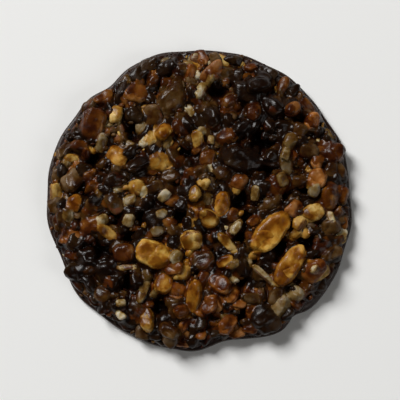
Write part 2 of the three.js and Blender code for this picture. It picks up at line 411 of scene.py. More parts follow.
ROASTS: dict[Tone, Roast] = {
    Tone.PALE: Roast("#c0b59c", "#a39272", -0.45, -0.4),
    Tone.GOLD: Roast("#cfae6a", "#b4904c", -0.22, -0.34),
    Tone.AMBER: Roast("#d2a650", "#b8883c", -0.15, -0.36),
    Tone.TAN: Roast("#a0937c", "#85765e", -0.05, -0.2),
    Tone.COPPER: Roast("#b47e4a", "#92623a", 0.2, -0.3),
    Tone.RUST: Roast("#b08350", "#8c6036", 0.62, -0.14),
    Tone.BROWN: Roast("#6e573c", "#58432a", 0.05, 0.0),
    Tone.DARK: Roast("#43352a", "#33261c", 0.5, 0.15),
}


def linear(colour: str) -> tuple[float, float, float, float]:
    """Turns an sRGB colour to linear: c / 12.92 up to 0.04045, else ((c + 0.055) / 1.055)^2.4.

    Args:
        colour: its hex value, such as "#c0b59c".

    Returns:
        Red, green, blue and 1 for opaque.
    """
    parts = [int(colour[i : i + 2], 16) / 255 for i in (1, 3, 5)]
    red, green, blue = (c / 12.92 if c <= 0.04045 else ((c + 0.055) / 1.055) ** 2.4 for c in parts)
    return red, green, blue, 1.0


def drawn_tones(drawn: Array, steps: Iterable[tuple[Tone, Array | float]]) -> Array:
    """Turns draws into tones: the first tone whose share, added to those before it, passes the draw, or dark.

    Args:
        drawn: one draw for each piece.
        steps: each tone and its share.

    Returns:
        The tones.
    """
    tones, reached = np.full(len(drawn), Tone.DARK, object), np.zeros(len(drawn))
    for tone, share in steps:
        tones[(drawn >= reached) & (drawn < reached + share)] = tone
        reached = reached + share
    return tones


@dataclass
class Chips:
    """Chopped pieces of almond as arrays, one row each: mm and radians."""

    index: Array
    centre: Array
    half: Array
    turn: Array
    pitch: Array
    roll: Array
    tone: Array

    FIRST_CHUNK = 1000  # the number of the first piece that isn't a slice
    BOX_SIDES = np.array([[1, 0, 0], [-1, 0, 0], [0, 1, 0], [0, -1, 0], [0, 0, 1], [0, 0, -1]], float)
    CORNERS = 4
    CUT_DRAWS = 4  # three for a cut's way and one for its distance
    SKEW = 0.38  # the most that each part of a side's normal is off
    SIDE_DISTANCE = (0.92, 1.1)  # half sizes
    CORNER_DISTANCE = (0.92, 1.15)
    SLICE_BALL = (1.06, 0.55)  # radius of the ball that the cuts are taken from, in half sizes, and how much
    CHUNK_BALL = (1.3, 1.0)  # a place's height counts against it
    SHARPNESS = 18  # p of the soft minimum: the higher, the sharper the edges between the cuts
    NEWTON_STEPS = 12
    MOST_AT_TOP = 1.02  # F, where a top counts as found
    TINY = 1e-9
    FAR = 2.4  # mm, past which a piece's footprint isn't felt
    FAR_BELOW = 50.0  # mm
    SHOULDER = 0.25  # how far over a piece's middle the caramel climbs to, in half heights
    CLIMB_WIDTH = 0.7  # mm
    STRENGTH = (0.85, 1.15)  # of a nut's colour

    def __len__(self) -> int:
        """Counts the pieces."""
        return len(self.index)

    def chosen(self, which: Array) -> "Chips":
        """Gives the pieces that a mask or a list of rows names."""
        return Chips(**{row.name: getattr(self, row.name)[which] for row in fields(self)})

    @staticmethod
    def joined(groups: list["Chips"]) -> "Chips":
        """Puts groups of pieces into one."""
        names = [row.name for row in fields(Chips)]
        return Chips(**{name: np.concatenate([getattr(group, name) for group in groups]) for name in names})

    def draws(self, channel: int) -> Array:
        """Draws one number for each piece."""
        return chance(self.index, channel)

    def are_slices(self) -> Array:
        """Tells which pieces are slices. The others are chunks."""
        return self.index < self.FIRST_CHUNK

    def footprints(self, x: Array, y: Array, level: Array) -> tuple[Array, Array]:
        """Measures places against the pieces seen from above.

        A footprint is (|u|^3 + |v|^3)^(1/3) = 1, u and v being the place along the piece's length and
        width in half sizes. The gap is what that exceeds 1 by times the mean half size. The climb is the
        greatest over the pieces of (shoulder - level) * exp(-(gap / CLIMB_WIDTH)^2), where the shoulder is
        a little over the piece's middle.

        Args:
            x: places in mm.
            y: the same places' y.
            level: height of the caramel there without the pieces.

        Returns:
            The gap to the nearest footprint, less than 0 inside it, and the climb.
        """
        shape = np.shape(x)
        x, y, level = (np.ravel(values) for values in (x, y, level))
        gap, climb = np.full(len(x), self.FAR), np.zeros(len(x))
        for centre, half, turn in zip(self.centre, self.half, self.turn):
            reach = half[0] + self.FAR
            near = np.flatnonzero((np.abs(x - centre[0]) < reach) & (np.abs(y - centre[1]) < reach))
            dx, dy = x[near] - centre[0], y[near] - centre[1]
            u = (dx * math.cos(turn) + dy * math.sin(turn)) / half[0]
            v = (dy * math.cos(turn) - dx * math.sin(turn)) / half[1]
            beyond = ((np.abs(u) ** 3 + np.abs(v) ** 3) ** (1 / 3) - 1) * half[:2].mean()
            gap[near] = np.minimum(gap[near], beyond)
            shoulder = centre[2] + self.SHOULDER * half[2] - level[near]
            rise = shoulder * np.exp(-((np.maximum(0, beyond) / self.CLIMB_WIDTH) ** 2))
            climb[near] = np.maximum(climb[near], rise)
        return gap.reshape(shape), climb.reshape(shape)

    def balls(self) -> Array:
        """Gives each piece's ball, its radius and its share of the height. A slice's makes the slice flat."""
        return np.where(self.are_slices()[:, None], self.SLICE_BALL, self.CHUNK_BALL)

    def nuts(self) -> Array:
        """Gives each piece's nut colour: a drawn mix of its roast's two, drawn darker or lighter.

        Returns:
            Linear red, green and blue, n by 3.
        """
        roasts = [ROASTS[tone] for tone in self.tone]
        light = np.array([linear(roast.light)[:3] for roast in roasts])
        deep = np.array([linear(roast.deep)[:3] for roast in roasts])
        strength = between(self.STRENGTH, self.draws(Draw.STREAK))
        return (light + (deep - light) * self.draws(Draw.SHADE)[:, None]) * strength[:, None]

    def coats(self) -> Array:
        """Gives how much thicker or thinner than the mean each piece's caramel is, mm."""
        return np.array([ROASTS[tone].coat for tone in self.tone])

    def covers(self) -> Array:
        """Gives how much higher or lower than the mean the film lies on each piece, mm."""
        return np.array([ROASTS[tone].cover for tone in self.tone])

    def seen_from_above(self, x: Array, y: Array) -> tuple[Array, Array]:
        """Finds the pieces' tops by looking straight down.

        A piece is the places q, in half sizes along its own axes, where
        F(q) = ((|b q| / ball)^p + sum over the cuts of max(0, n.q / distance)^p)^(1/p) is at most 1, b
        scaling the height alone. F is convex along the line of sight, so Newton's steps from above the
        piece run down to its top and don't pass it.

        Args:
            x: places in mm, one after another.
            y: the same places' y.

        Returns:
            The top's height, far below the model where no piece lies, and the row of the piece it belongs to.
        """
        top, row_at = np.full(len(x), -self.FAR_BELOW), np.zeros(len(x), int)
        normals, distances = self.cuts()
        own_axes = np.moveaxis(self.turned(), 1, 2) / self.half[:, :, None]
        each = zip(self.centre, own_axes, normals / distances[..., None], self.balls())
        for row, (centre, axes, sides, (ball, tall)) in enumerate(each):
            reach = ball * self.half[row].max()
            scale = np.array([1, 1, tall])
            near = np.flatnonzero((np.abs(x - centre[0]) < reach) & (np.abs(y - centre[1]) < reach))
            start = np.stack([x[near] - centre[0], y[near] - centre[1]]).T @ axes[:, :2].T
            up, z = axes[:, 2], np.full(len(near), reach)
            for _ in range(self.NEWTON_STEPS):
                q = start + z[:, None] * up
                facing = np.maximum(0, q @ sides.T)
                size = np.maximum(self.TINY, np.linalg.norm(q * scale, axis=1))
                power = (facing**self.SHARPNESS).sum(axis=1) + (size / ball) ** self.SHARPNESS
                slope = (facing ** (self.SHARPNESS - 1)) @ (sides @ up)
                slope += size ** (self.SHARPNESS - 2) * (q * scale @ (up * scale)) / ball**self.SHARPNESS
                value = power ** (1 / self.SHARPNESS)
                down = (value - 1) * value ** (self.SHARPNESS - 1) / np.maximum(slope, self.TINY)
                z = z - np.where(slope > 0, down, 0)
            found = (value < self.MOST_AT_TOP) & (slope > 0) & (centre[2] + z > top[near])
            top[near[found]], row_at[near[found]] = (centre[2] + z)[found], row
        return top, row_at

    def turned(self) -> Array:
        """Gives each piece's turning matrix, Rz(turn) Ry(pitch) Rx(roll).

        Returns:
            The matrices, n by 3 by 3.
        """
        (cz, sz), (cy, sy), (cx, sx) = ((np.cos(a), np.sin(a)) for a in (self.turn, self.pitch, self.roll))
        rows = [
            [cz * cy, cz * sy * sx - sz * cx, cz * sy * cx + sz * sx],
            [sz * cy, sz * sy * sx + cz * cx, sz * sy * cx - cz * sx],
            [-sy, cy * sx, cy * cx],
        ]
        return np.moveaxis(np.array(rows), -1, 0)

    def cuts(self) -> tuple[Array, Array]:
        """Gives the flat cuts that bound each piece: six askew sides of a box, then the cut corners.

        Returns:
            Their unit normals, n by 10 by 3, and distances from the middle in half sizes, n by 10.
        """
        sides = len(self.BOX_SIDES)
        count = sides + self.CORNERS
        channels = Draw.FIRST_CUT + np.arange(self.CUT_DRAWS * count).reshape(count, self.CUT_DRAWS)
        drawn = chance(self.index[:, None, None], channels)
        normals = 2 * drawn[..., :3] - 1
        normals[:, :sides] = self.BOX_SIDES + self.SKEW * normals[:, :sides]
        normals /= np.linalg.norm(normals, axis=-1, keepdims=True)
        distances = between(self.CORNER_DISTANCE, drawn[..., 3])
        distances[:, :sides] = between(self.SIDE_DISTANCE, drawn[:, :sides, 3])
        return normals, distances


GLAZE_MEAN = 0.3  # mm
GLAZE_NOISE = ((5.5, 0.28), (2.2, 0.2), (0.9, 0.12))  # cell and swing, mm
POOLS = (  # where caramel gathered, or ran off if less than 0: x, y, radius, added thickness, mm
    (11.8, 9.5, 5.4, 0.6), (12.5, 17.5, 5.6, 0.6), (-20.0, -11.0, 4.0, 0.5),
    (-12.0, -3.0, 4.5, 0.25), (-24.0, -16.0, 5.0, 0.3), (-7.0, -23.5, 3.5, 0.5),
    (27.4, 10.8, 2.0, 0.35), (13.2, -7.6, 3.2, 0.38), (-8.8, -12.4, 2.0, -0.3),
    (18.1, -14.8, 2.6, -0.5), (-4.8, -12.0, 2.2, -1.0), (-1.2, -8.4, 1.8, -0.3),
    (25.1, 2.9, 2.0, -0.4), (0.3, -28.0, 2.5, 0.7), (-16.0, -19.4, 1.6, 0.4),
    (-3.4, -3.2, 1.8, 0.35), (3.7, -11.6, 2.0, 0.95), (-0.3, -11.6, 1.8, 0.3),
    (-23.8, -2.2, 1.8, 0.3), (10.4, -17.6, 2.0, 0.35), (21.8, 17.5, 3.0, 0.3),
    (6.4, -2.2, 1.8, 0.3), (17.8, -10.9, 1.6, 0.75), (29.0, 5.5, 2.5, 0.3),
    (20.3, 4.1, 1.6, 0.3), (0.6, -21.8, 1.8, 0.4), (18.6, -1.2, 1.6, 0.2),
    (3.5, -0.3, 1.8, 0.4), (-3.2, -23.6, 2.0, -0.35), (-21.8, -18.3, 2.0, 0.35),
    (-13.0, -25.0, 1.8, 0.2), (-8.0, -16.6, 1.8, 0.2), (19.1, 14.6, 1.8, 0.3),
    (1.7, -15.6, 1.8, 0.25), (19.9, -7.5, 1.8, -0.5), (13.3, -14.2, 1.5, 0.6),
    (-8.4, -27.2, 1.8, 0.4), (-0.3, -0.2, 1.8, -0.3), (-2.3, 1.2, 1.5, 0.35),
    (2.3, -6.9, 1.5, 0.35), (10.4, -10.9, 1.5, -0.4),
)


def pooled(x: Array, y: Array) -> Array:
    """Gives the caramel that gathered at each place: the sum of added * exp(-(distance / radius)^2), mm."""
    each = ((np.hypot(x - to_x, y - to_y) / radius, added) for to_x, to_y, radius, added in POOLS)
    return sum(added * np.exp(-(away**2)) for away, added in each)


def glaze(points: Array) -> Array:
    """Gives the thickness of the caramel that clings to the nuts: a mean, noise of three sizes and the pools.

    Args:
        points: places in mm, with x, y and z last.

    Returns:
        The thickness in mm, which may be less than 0 where a nut lies quite bare.
    """
    noise = layered_noise(points, GLAZE_NOISE, Noise.GLAZE)
    return GLAZE_MEAN + noise + pooled(points[..., 0], points[..., 1])


@dataclass(frozen=True)
class Chopper:
    """Makes the surfaces of chopped pieces: a stone between flat cuts, with a crumbly skin.

    A direction d is cos(b) along the piece's length and sin(b) round it. The surface lies at
    r(d) = ((|b d| / ball)^p + sum over the cuts of max(0, n.d / distance)^p)^(-1/p), stretched to the half
    sizes and moved out along d by three sizes of noise.
    """

    around: int  # points round a piece
    along: int  # steps from end to end
    warp: Pair = (3.2, 0.4)  # cell and height
    lumps: Pair = (1.5, 0.3)
    nicks: Pair = (0.6, 0.1)
    most_relief: float = 0.22  # of the least half size
    apart: float = 19.7  # between the stretches of noise of two pieces
    side_coat: float = 0.4  # more caramel on the sides than on the top
    side_ends: float = 0.85  # half heights over the middle, where that ends
    # Painted shade as well as caramel: each piece is darkened, by more caramel depth, towards one side that
    # faces 80 to 220 degrees from +X.
    coat_and_shade: Pair = (0.0, 0.9)  # more caramel, so darker, on one side
    slice_coat_and_shade: Pair = (0.7, 1.5)
    coat_and_shade_side: Pair = (80, 220)  # degrees from +X, where that side may face
    coat_and_shade_edge: Pair = (-0.3, 0.7)  # half sizes towards that side, where the darkening begins and is full
    coat_and_shade_noise: tuple[Pair, ...] = ((1.7, 0.5),)  # cell in mm and swing in half sizes of the darkening's edge
    edge_thinning: float = 0.4  # less caramel on an edge between two cuts
    skinned: float = 0.45  # share of the pieces that kept brown skin on one side
    first_side: int = 2  # the first cut that isn't an end: two across the width, then two across the height
    skin_edge: Pair = (0.35, 0.6)  # cosine to that side, where the skin begins and is whole
    streak_shift: float = 7.3  # the most that a piece's streaks are shifted by

    def directions(self) -> Array:
        """Gives unit directions: one at each end of the length and rings of them between.

        Returns:
            The directions, n by 3.
        """
        b = np.pi * np.arange(1, self.along) / self.along
        a = TURN * np.arange(self.around) / self.around
        b, a = np.meshgrid(b, a, indexing="ij")
        rings = np.stack([np.cos(b), np.sin(b) * np.cos(a), np.sin(b) * np.sin(a)], axis=-1).reshape(-1, 3)
        return np.concatenate([[[1.0, 0, 0]], rings, [[-1.0, 0, 0]]])

    def triangles(self) -> Array:
        """Joins one piece's points: a fan at each end and a band between.

        Returns:
            The triangles as numbers of points, n by 3.
        """
        band = band_triangles(self.along - 1, self.around) + 1
        last = 1 + self.around * (self.along - 1)
        first_ring = 1 + np.arange(self.around)
        last_ring = last - self.around + np.arange(self.around)
        ends = [fan_triangles(first_ring, 0, True), fan_triangles(last_ring, last, False)]
        return np.concatenate([band, *ends])[:, ::-1]

    def skin(self, chips: Chips, normals: Array) -> Array:
        """Gives where brown skin is left: on the side of one cut, which on a slice lies at its edge.

        Args:
            chips: the pieces.
            normals: of their cuts, n by 10 by 3.

        Returns:
            0 on bare nut to 1 on skin, for each piece and direction.
        """
        choices = np.where(chips.are_slices(), 2, 4)
        side = self.first_side + (choices * chips.draws(Draw.SKIN_SIDE)).astype(int)
        outer = np.take_along_axis(normals, side[:, None, None], axis=1)[:, 0]
        skin = smooth_step(np.einsum("nc,mc->nm", outer, self.directions()), *self.skin_edge)
        return skin * (chips.draws(Draw.SKIN) < self.skinned)[:, None]

    def one_side_coat_and_shade(self, chips: Chips, away: Array, apart: Array) -> Array:
        """Gives the depth added on one side of each piece, darkening it: a dipped coat and painted shade.

        Args:
            chips: the pieces.
            away: places from the piece's middle, mm.
            apart: where those places read their noise, mm.

        Returns:
            The added thickness at each place, mm.
        """
        way = np.radians(between(self.coat_and_shade_side, chips.draws(Draw.DIP_SIDE)))[:, None]
        along = away[..., 0] * np.cos(way) + away[..., 1] * np.sin(way)
        along = along / chips.half[:, :2].mean(axis=1)[:, None]
        along = layered_noise(apart, self.coat_and_shade_noise, Noise.DIP, along)
        drawn = chips.draws(Draw.DIP)
        most = np.where(chips.are_slices(), between(self.slice_coat_and_shade, drawn), between(self.coat_and_shade, drawn))
        return most[:, None] * smooth_step(along, *self.coat_and_shade_edge)

    def shell(self, chips: Chips) -> Shell:
        """Makes the pieces as one shell.

        Args:
            chips: the pieces.

        Returns:
            The shell, with the marks nut (its colour), depth (mm of caramel over it, with painted shade on
            one side), skin (1 where brown skin covers it) and grain (mm along the piece, for streaks).
        """
        directions = self.directions()
        normals, distances = chips.cuts()
        facing = np.maximum(0, np.einsum("nkc,mc->nkm", normals, directions) / distances[..., None])
        facing = facing**chips.SHARPNESS
        ball, tall = chips.balls().T[..., None]
        from_ball = np.hypot(np.hypot(directions[:, 0], directions[:, 1]), tall * directions[:, 2]) / ball
        total = from_ball**chips.SHARPNESS + facing.sum(axis=1)
        radius = total ** (-1 / chips.SHARPNESS)
        local = directions * radius[..., None] * chips.half[:, None, :]
        apart = local + self.apart * chips.index[:, None, None]
        raised = np.zeros(radius.shape)
        for channel, (cell, height) in enumerate((self.warp, self.lumps, self.nicks)):
            fitted = np.minimum(height, self.most_relief * chips.half.min(axis=1))[:, None]
            raised = raised + fitted * rolling_noise(apart, cell, Noise.STONE + channel)
        local = local + directions * raised[..., None]
        away = np.einsum("nij,nmj->nmi", chips.turned(), local)
        points = (away + chips.centre[:, None, :]).reshape(-1, 3)
        count, size = radius.shape
        triangles = self.triangles()[None] + size * np.arange(count)[:, None, None]
        lifted = away[..., 2] / chips.half[:, None, 2]
        depth = self.side_coat * (1 - smooth_step(lifted, 0.0, self.side_ends)) + chips.coats()[:, None]
        depth = depth - raised - self.edge_thinning * (1 - facing.max(axis=1) / total)
        # Painted shade as well as caramel: the added depth darkens each piece towards one side.
        depth = depth + self.one_side_coat_and_shade(chips, away, apart)
        streaks = local[..., 1] + local[..., 2] + self.streak_shift * chips.draws(Draw.STREAK)[:, None]
        marks = {
            "nut": np.repeat(chips.nuts(), size, axis=0),
            "depth": np.maximum(0, depth.ravel() + glaze(points)),
            "skin": self.skin(chips, normals).ravel(),
            "grain": streaks.ravel(),
        }
        return Shell(points, triangles.reshape(-1, 3), marks)


@dataclass(frozen=True)
class Batch:
    """Scattered pieces of one size: a try each, kept where it lies clear of those before it."""

    first_index: int
    tries: int
    length: Pair
    crowding: float  # the least distance between two middles, in the sum of their mean half sizes


@dataclass(frozen=True)
class Layout:
    """Where every fused almond piece lies, by the rules of the part's source."""

    level: CaramelLevel
    largest: tuple[PieceRow, ...] = (
        (-9.8, -11.5, 7.4, 5.7, -22, Tone.AMBER), (-1.8, -8.5, 4.8, 4.2, 15, Tone.GOLD),
        (-5.1, -12.2, 3.4, 2.8, 80, Tone.GOLD), (14.7, -6.9, 10.2, 5.4, 46, Tone.AMBER),
        (5.2, -13.0, 3.8, 2.3, 25, Tone.AMBER), (18.8, -13.9, 9.8, 4.3, 57, Tone.AMBER),
        (23.6, -2.8, 4.8, 3.6, 20, Tone.GOLD), (1.8, -4.0, 4.6, 3.6, -40, Tone.GOLD),
        (7.6, -5.8, 3.8, 1.9, 55, Tone.PALE), (-26.4, -0.9, 4.2, 3.0, 70, Tone.AMBER),
        (5.8, -9.2, 5.6, 1.9, -48, Tone.GOLD), (-7.6, -17.6, 4.6, 3.6, 70, Tone.AMBER),
        (-11.7, -18.6, 6.6, 1.9, 68, Tone.PALE), (-11.0, -25.2, 5.2, 2.9, 95, Tone.GOLD),
        (-1.2, -20.2, 6.9, 3.2, 82, Tone.AMBER), (4.2, -17.7, 5.0, 3.7, -30, Tone.COPPER),
        (24.5, 4.4, 4.6, 3.6, 50, Tone.COPPER), (23.6, 16.6, 4.0, 3.0, 60, Tone.COPPER),
        (18.8, 12.2, 4.2, 2.8, 60, Tone.TAN), (-19.4, -6.9, 5.2, 2.4, -40, Tone.GOLD),
        (18.0, 7.4, 4.8, 2.6, 100, Tone.TAN), (4.6, -0.9, 5.2, 3.2, 80, Tone.AMBER),
        (-15.9, -11.2, 4.6, 4.2, 10, Tone.RUST),
    )
    largest_first_index: int = 1
    hollows: tuple[Triple, ...] = (  # x, y and radius of the gaps where nothing lies
        (13.0, 12.3, 2.3), (14.2, 6.0, 2.2), (-20.3, -10.9, 2.4), (-4.2, -3.1, 1.6),
        (-8.5, -22.4, 1.8), (-15.2, -17.2, 1.8), (-12.6, -3.2, 1.5), (8.6, -8.3, 1.4),
        (16.6, -9.9, 1.2), (21.4, 1.5, 1.6), (8.8, -16.5, 1.5), (-23.0, 1.2, 1.7),
        (3.3, -11.2, 1.2), (8.2, 0.2, 1.7), (-3.0, 9.5, 2.2), (-14.0, 14.0, 2.0),
        (4.0, 22.5, 1.8), (-22.5, 8.0, 1.8), (-8.5, 24.0, 1.6), (20.5, 16.8, 1.1),
        (18.9, -5.6, 1.2), (22.8, -8.7, 1.7), (11.3, -12.6, 1.4), (-17.9, -2.9, 1.1),
        (-14.8, -7.6, 1.3), (8.8, -24.4, 1.3), (9.9, -3.9, 1.5), (17.1, 0.6, 1.3),
    )
    hollow_margin: float = 0.6  # mean half sizes, how far a piece's middle keeps from a hollow
    hollow_noise: Pair = (1.9, 0.45)  # cell in mm and swing in radii of a hollow's edge
    hollow_edge: Pair = (0.5, 1.0)  # radii, where a hollow's side begins and where it ends
    batches: tuple[Batch, ...] = (
        Batch(1000, 50, (4.6, 6.8), 1.4),
        Batch(3000, 900, (3.4, 4.8), 0.98),
        Batch(5000, 885, (2.4, 3.4), 0.98),
    )
    width_share: Pair = (0.52, 0.88)  # of the length
    height_share: Pair = (0.5, 0.85)  # of the width
    most_height: float = 2.9
    slice_most_height: float = 2.2
    tilt: float = 22  # degrees, the most either way
    tilt_length: float = 4  # a longer piece tilts less
    stands_out: Pair = (-0.15, 0.4)  # half heights, a chunk's middle above the caramel
    slice_stands_out: Pair = (0.2, 0.7)
    foot_clearance: float = 1.25  # half heights, the least from the foot to a middle
    rim_margin: float = 0.35
    side_pieces: int = 36
    side_first_index: int = 7000
    side_length: Pair = (2.2, 3.8)
    side_half_height: Pair = (0.55, 0.85)
    side_inset: Pair = (0.8, 1.5)  # from the caramel's rim to a middle
    side_above_foot: Pair = (1.0, 1.55)
    side_spread: float = 0.7  # spacings, the most that a piece strays
    tone_steps: tuple[tuple[Tone, float, float], ...] = (  # tone, its share in the middle and at the rim
        (Tone.AMBER, 0.05, 0.02),
        (Tone.GOLD, 0.04, 0.02),
        (Tone.PALE, 0.03, 0.02),
        (Tone.TAN, 0.05, 0.06),
        (Tone.COPPER, 0.03, 0.04),
        (Tone.RUST, 0.18, 0.26),
        (Tone.BROWN, 0.26, 0.22),
    )
    rim_tones: Pair = (0.62, 0.92)  # of the radius, where the middle's shares end and the rim's begin
    blushes: tuple[tuple[float, float, float, float], ...] = (  # x, y, radius, share that turned copper
        (1.0, -21.5, 7.5, 0.7),
        (26.0, 8.0, 7.0, 0.3),
    )
    lesser: tuple[PieceRow, ...] = (
        (-20.4, -4.3, 2.6, 2.1, 30, Tone.PALE), (-14.7, -0.2, 3.0, 2.0, 20, Tone.PALE),
        (-14.9, -4.5, 2.6, 2.2, 80, Tone.PALE), (20.8, -4.9, 3.2, 2.6, 60, Tone.GOLD),
        (23.8, -15.0, 5.0, 3.4, 40, Tone.COPPER), (12.1, 24.0, 4.4, 3.0, 10, Tone.DARK),
        (11.1, 18.5, 3.6, 2.6, 70, Tone.RUST), (19.6, -1.9, 3.6, 2.6, 50, Tone.COPPER),
        (27.0, 0.4, 4.4, 3.0, 85, Tone.RUST), (-6.6, -27.5, 4.4, 2.6, 150, Tone.BROWN),
        (-15.2, -14.2, 3.6, 1.3, 0, Tone.PALE), (13.5, -16.0, 5.8, 1.2, -42, Tone.PALE),
        (-11.7, 1.5, 2.4, 1.8, 60, Tone.PALE), (-1.0, 0.9, 3.0, 2.2, 80, Tone.GOLD),
        (-8.1, -3.1, 2.2, 1.8, 20, Tone.TAN), (6.6, -20.0, 3.4, 2.4, 60, Tone.COPPER),
        (2.0, -22.6, 3.2, 2.2, 30, Tone.COPPER), (16.8, -22.2, 5.4, 3.0, 60, Tone.TAN),
        (-1.5, -4.5, 2.8, 1.7, 80, Tone.GOLD), (-5.4, -14.6, 3.8, 2.6, 10, Tone.COPPER),
        (-5.0, -12.1, 2.6, 2.2, 70, Tone.PALE), (23.9, 2.0, 2.8, 2.0, 70, Tone.TAN),
        (11.6, 1.2, 3.0, 1.8, 80, Tone.PALE), (-27.6, -3.3, 2.8, 2.2, 100, Tone.TAN),
        (19.8, -7.2, 3.0, 2.3, 40, Tone.GOLD), (-7.4, 0.7, 2.6, 2.0, 40, Tone.PALE),
        (7.0, -13.7, 2.6, 1.8, 30, Tone.TAN), (24.5, 7.9, 2.8, 2.2, 60, Tone.COPPER),
        (-9.0, -6.6, 2.6, 2.0, 20, Tone.TAN), (-3.8, -23.4, 3.0, 2.2, 20, Tone.COPPER),
        (17.2, 4.1, 2.8, 2.0, 100, Tone.TAN), (17.9, 9.4, 2.6, 1.8, 70, Tone.TAN),
        (19.6, 19.0, 3.0, 2.2, 30, Tone.RUST),
    )
    # Four small pale bits on top, partly pale almond and partly painted highlights.
    highlight_crumbs: tuple[PieceRow, ...] = (
        (-16.5, -21.7, 1.9, 1.5, 10, Tone.PALE), (-16.6, -24.2, 2.1, 1.5, 150, Tone.PALE),
        (23.8, -14.7, 1.9, 1.4, 60, Tone.PALE), (27.4, -3.7, 2.6, 1.5, 110, Tone.PALE),
    )
    lesser_first_index: int = 9000
    highlight_crumbs_first_index: int = 9500
    lesser_bearing: float = 0.6  # of the half length, where an end rests
    lesser_sink: float = 0.4  # how far under the level an end may hang where no piece carries it
    lesser_seat: float = 0.35  # how far a middle lies above what carries it, in half heights
    lesser_least_seat: float = 0.35
    lesser_tilt: float = 15  # degrees
    bit_tries: int = 820
    bit_first_index: int = 11000
    bit_length: Pair = (1.7, 3.3)
    bit_length_power: float = 1.4  # the higher, the more short ones
    bit_rim_margin: float = 0.9
    bit_clearance: float = -0.22  # its own lengths, how far into a stone's footprint its middle may lie
    bit_most_hollow: float = 0.2  # how deep into a hollow
    bit_sunk: Pair = (-0.9, 0.15)  # where a bit's middle lies against the caramel's level
    bit_above_foot: float = 0.6  # heights
    bit_tilt: float = 35  # degrees

    def tones(self, index: Array, place: Array) -> Array:
        """Draws a tone for each scattered piece.

        The shares run from the middle's to the rim's over the outer third, and a draw is moved on, towards
        the darker tones, by the caramel that gathered there in mm. Where the sugar browned redder, a share of
        the pieces, which falls off as share * exp(-(distance / radius)^2), is copper instead.

        Args:
            index: their numbers.
            place: x and y, n by 2.

        Returns:
            The tones.
        """
        rim = smooth_step(np.hypot(*place.T) / self.level.outline.radius, *self.rim_tones)
        drawn = np.maximum(0, chance(index, Draw.TONE) + pooled(*place.T))
        tones = drawn_tones(drawn, ((tone, between(shares, rim)) for tone, *shares in self.tone_steps))
        for x, y, radius, share in self.blushes:
            away = np.hypot(place[:, 0] - x, place[:, 1] - y) / radius
            tones[chance(index, Draw.BLUSH) < share * np.exp(-(away**2))] = Tone.COPPER
        return tones

    def seated(self, index: Array, place: Array, size: Array, turn: Array, tone: Array) -> Chips:
        """Seats pieces: z is the caramel's top plus a drawn share of the half height, clear of the foot.

        Args:
            index: their numbers.
            place: x and y, n by 2.
            size: length and width, n by 2.
            turn: radians about Z.
            tone: their tones.

        Returns:
            The pieces.
        """
        is_slice = index < Chips.FIRST_CHUNK
        most = np.where(is_slice, self.slice_most_height, self.most_height)
        height = np.minimum(most, size[:, 1] * between(self.height_share, chance(index, Draw.HEIGHT)))
        half = np.column_stack([size, height]) / 2
        drawn = chance(index, Draw.LIFT)
        out = np.where(is_slice, between(self.slice_stands_out, drawn), between(self.stands_out, drawn))
        lowest = self.level.foot_top + self.foot_clearance * half[:, 2]
        z = np.maximum(lowest, self.level.top(*place.T) + out * half[:, 2])
        tilt = math.radians(self.tilt) * np.minimum(1, self.tilt_length / size[:, 0])
        return Chips(index, np.column_stack([place, z]), half, turn, *drawn_lean(index, tilt), tone)

    def top_pieces(self) -> Chips:
        """Lays the largest pieces, then each batch: a try is kept if no piece lies nearer than is allowed.

        Returns:
            The pieces on top, in the order of their numbers.
        """
        rows = np.array([row[:5] for row in self.largest], float)
        index = list(self.largest_first_index + np.arange(len(rows)))
        place, size = [tuple(r[:2]) for r in rows], [tuple(r[2:4]) for r in rows]
        turn = list(np.radians(rows[:, 4]))
        reach = list(rows[:, 2:4].sum(axis=1) / 4)
        hollows = np.array(self.hollows)
        for batch in self.batches:
            number = batch.first_index + np.arange(batch.tries)
            drawn = drawn_sizes(number, batch.length, self.width_share, self.height_share)[:, :2]
            mean = drawn.sum(axis=1) / 4
            angle = TURN * chance(number, Draw.ANGLE)
            room = self.level.rim_at(angle) - self.rim_margin - mean / 2
            spots = at_angle(room * np.sqrt(chance(number, Draw.AWAY)), angle)
            for n, spot in enumerate(spots):
                gaps = np.hypot(*(np.array(place) - spot).T)
                to_hollows = np.hypot(*(hollows[:, :2] - spot).T)
                clear = (to_hollows > hollows[:, 2] + self.hollow_margin * mean[n]).all()
                if clear and (gaps > batch.crowding * (np.array(reach) + mean[n])).all():
                    index.append(number[n])
                    place.append(tuple(spot))
                    size.append(tuple(drawn[n]))
                    turn.append(TURN * chance(number[n], Draw.TURN))
                    reach.append(mean[n])
        index, place = np.array(index), np.array(place)
        tone = self.tones(index, place)
        tone[: len(rows)] = [row[5] for row in self.largest]
        return self.seated(index, place, np.array(size), np.array(turn), tone)

    def hollowness(self, x: Array, y: Array) -> Array:
        """Gives 1 in the middle half of a hollow, falling to 0 at its edge, which noise makes ragged.

        Args:
            x: places in mm.
            y: the same places' y.

        Returns:
            The depth at each place, 0 to 1.
        """
        cell, swing = self.hollow_noise
        ragged = swing * rolling_noise(np.stack([x, y, np.zeros(np.shape(x))], axis=-1), cell, Noise.HOLLOW)
        deepest = np.zeros(np.shape(x))
        for hollow_x, hollow_y, radius in self.hollows:
            away = np.hypot(x - hollow_x, y - hollow_y) / radius + ragged
            deepest = np.maximum(deepest, 1 - smooth_step(away, *self.hollow_edge))
        return deepest

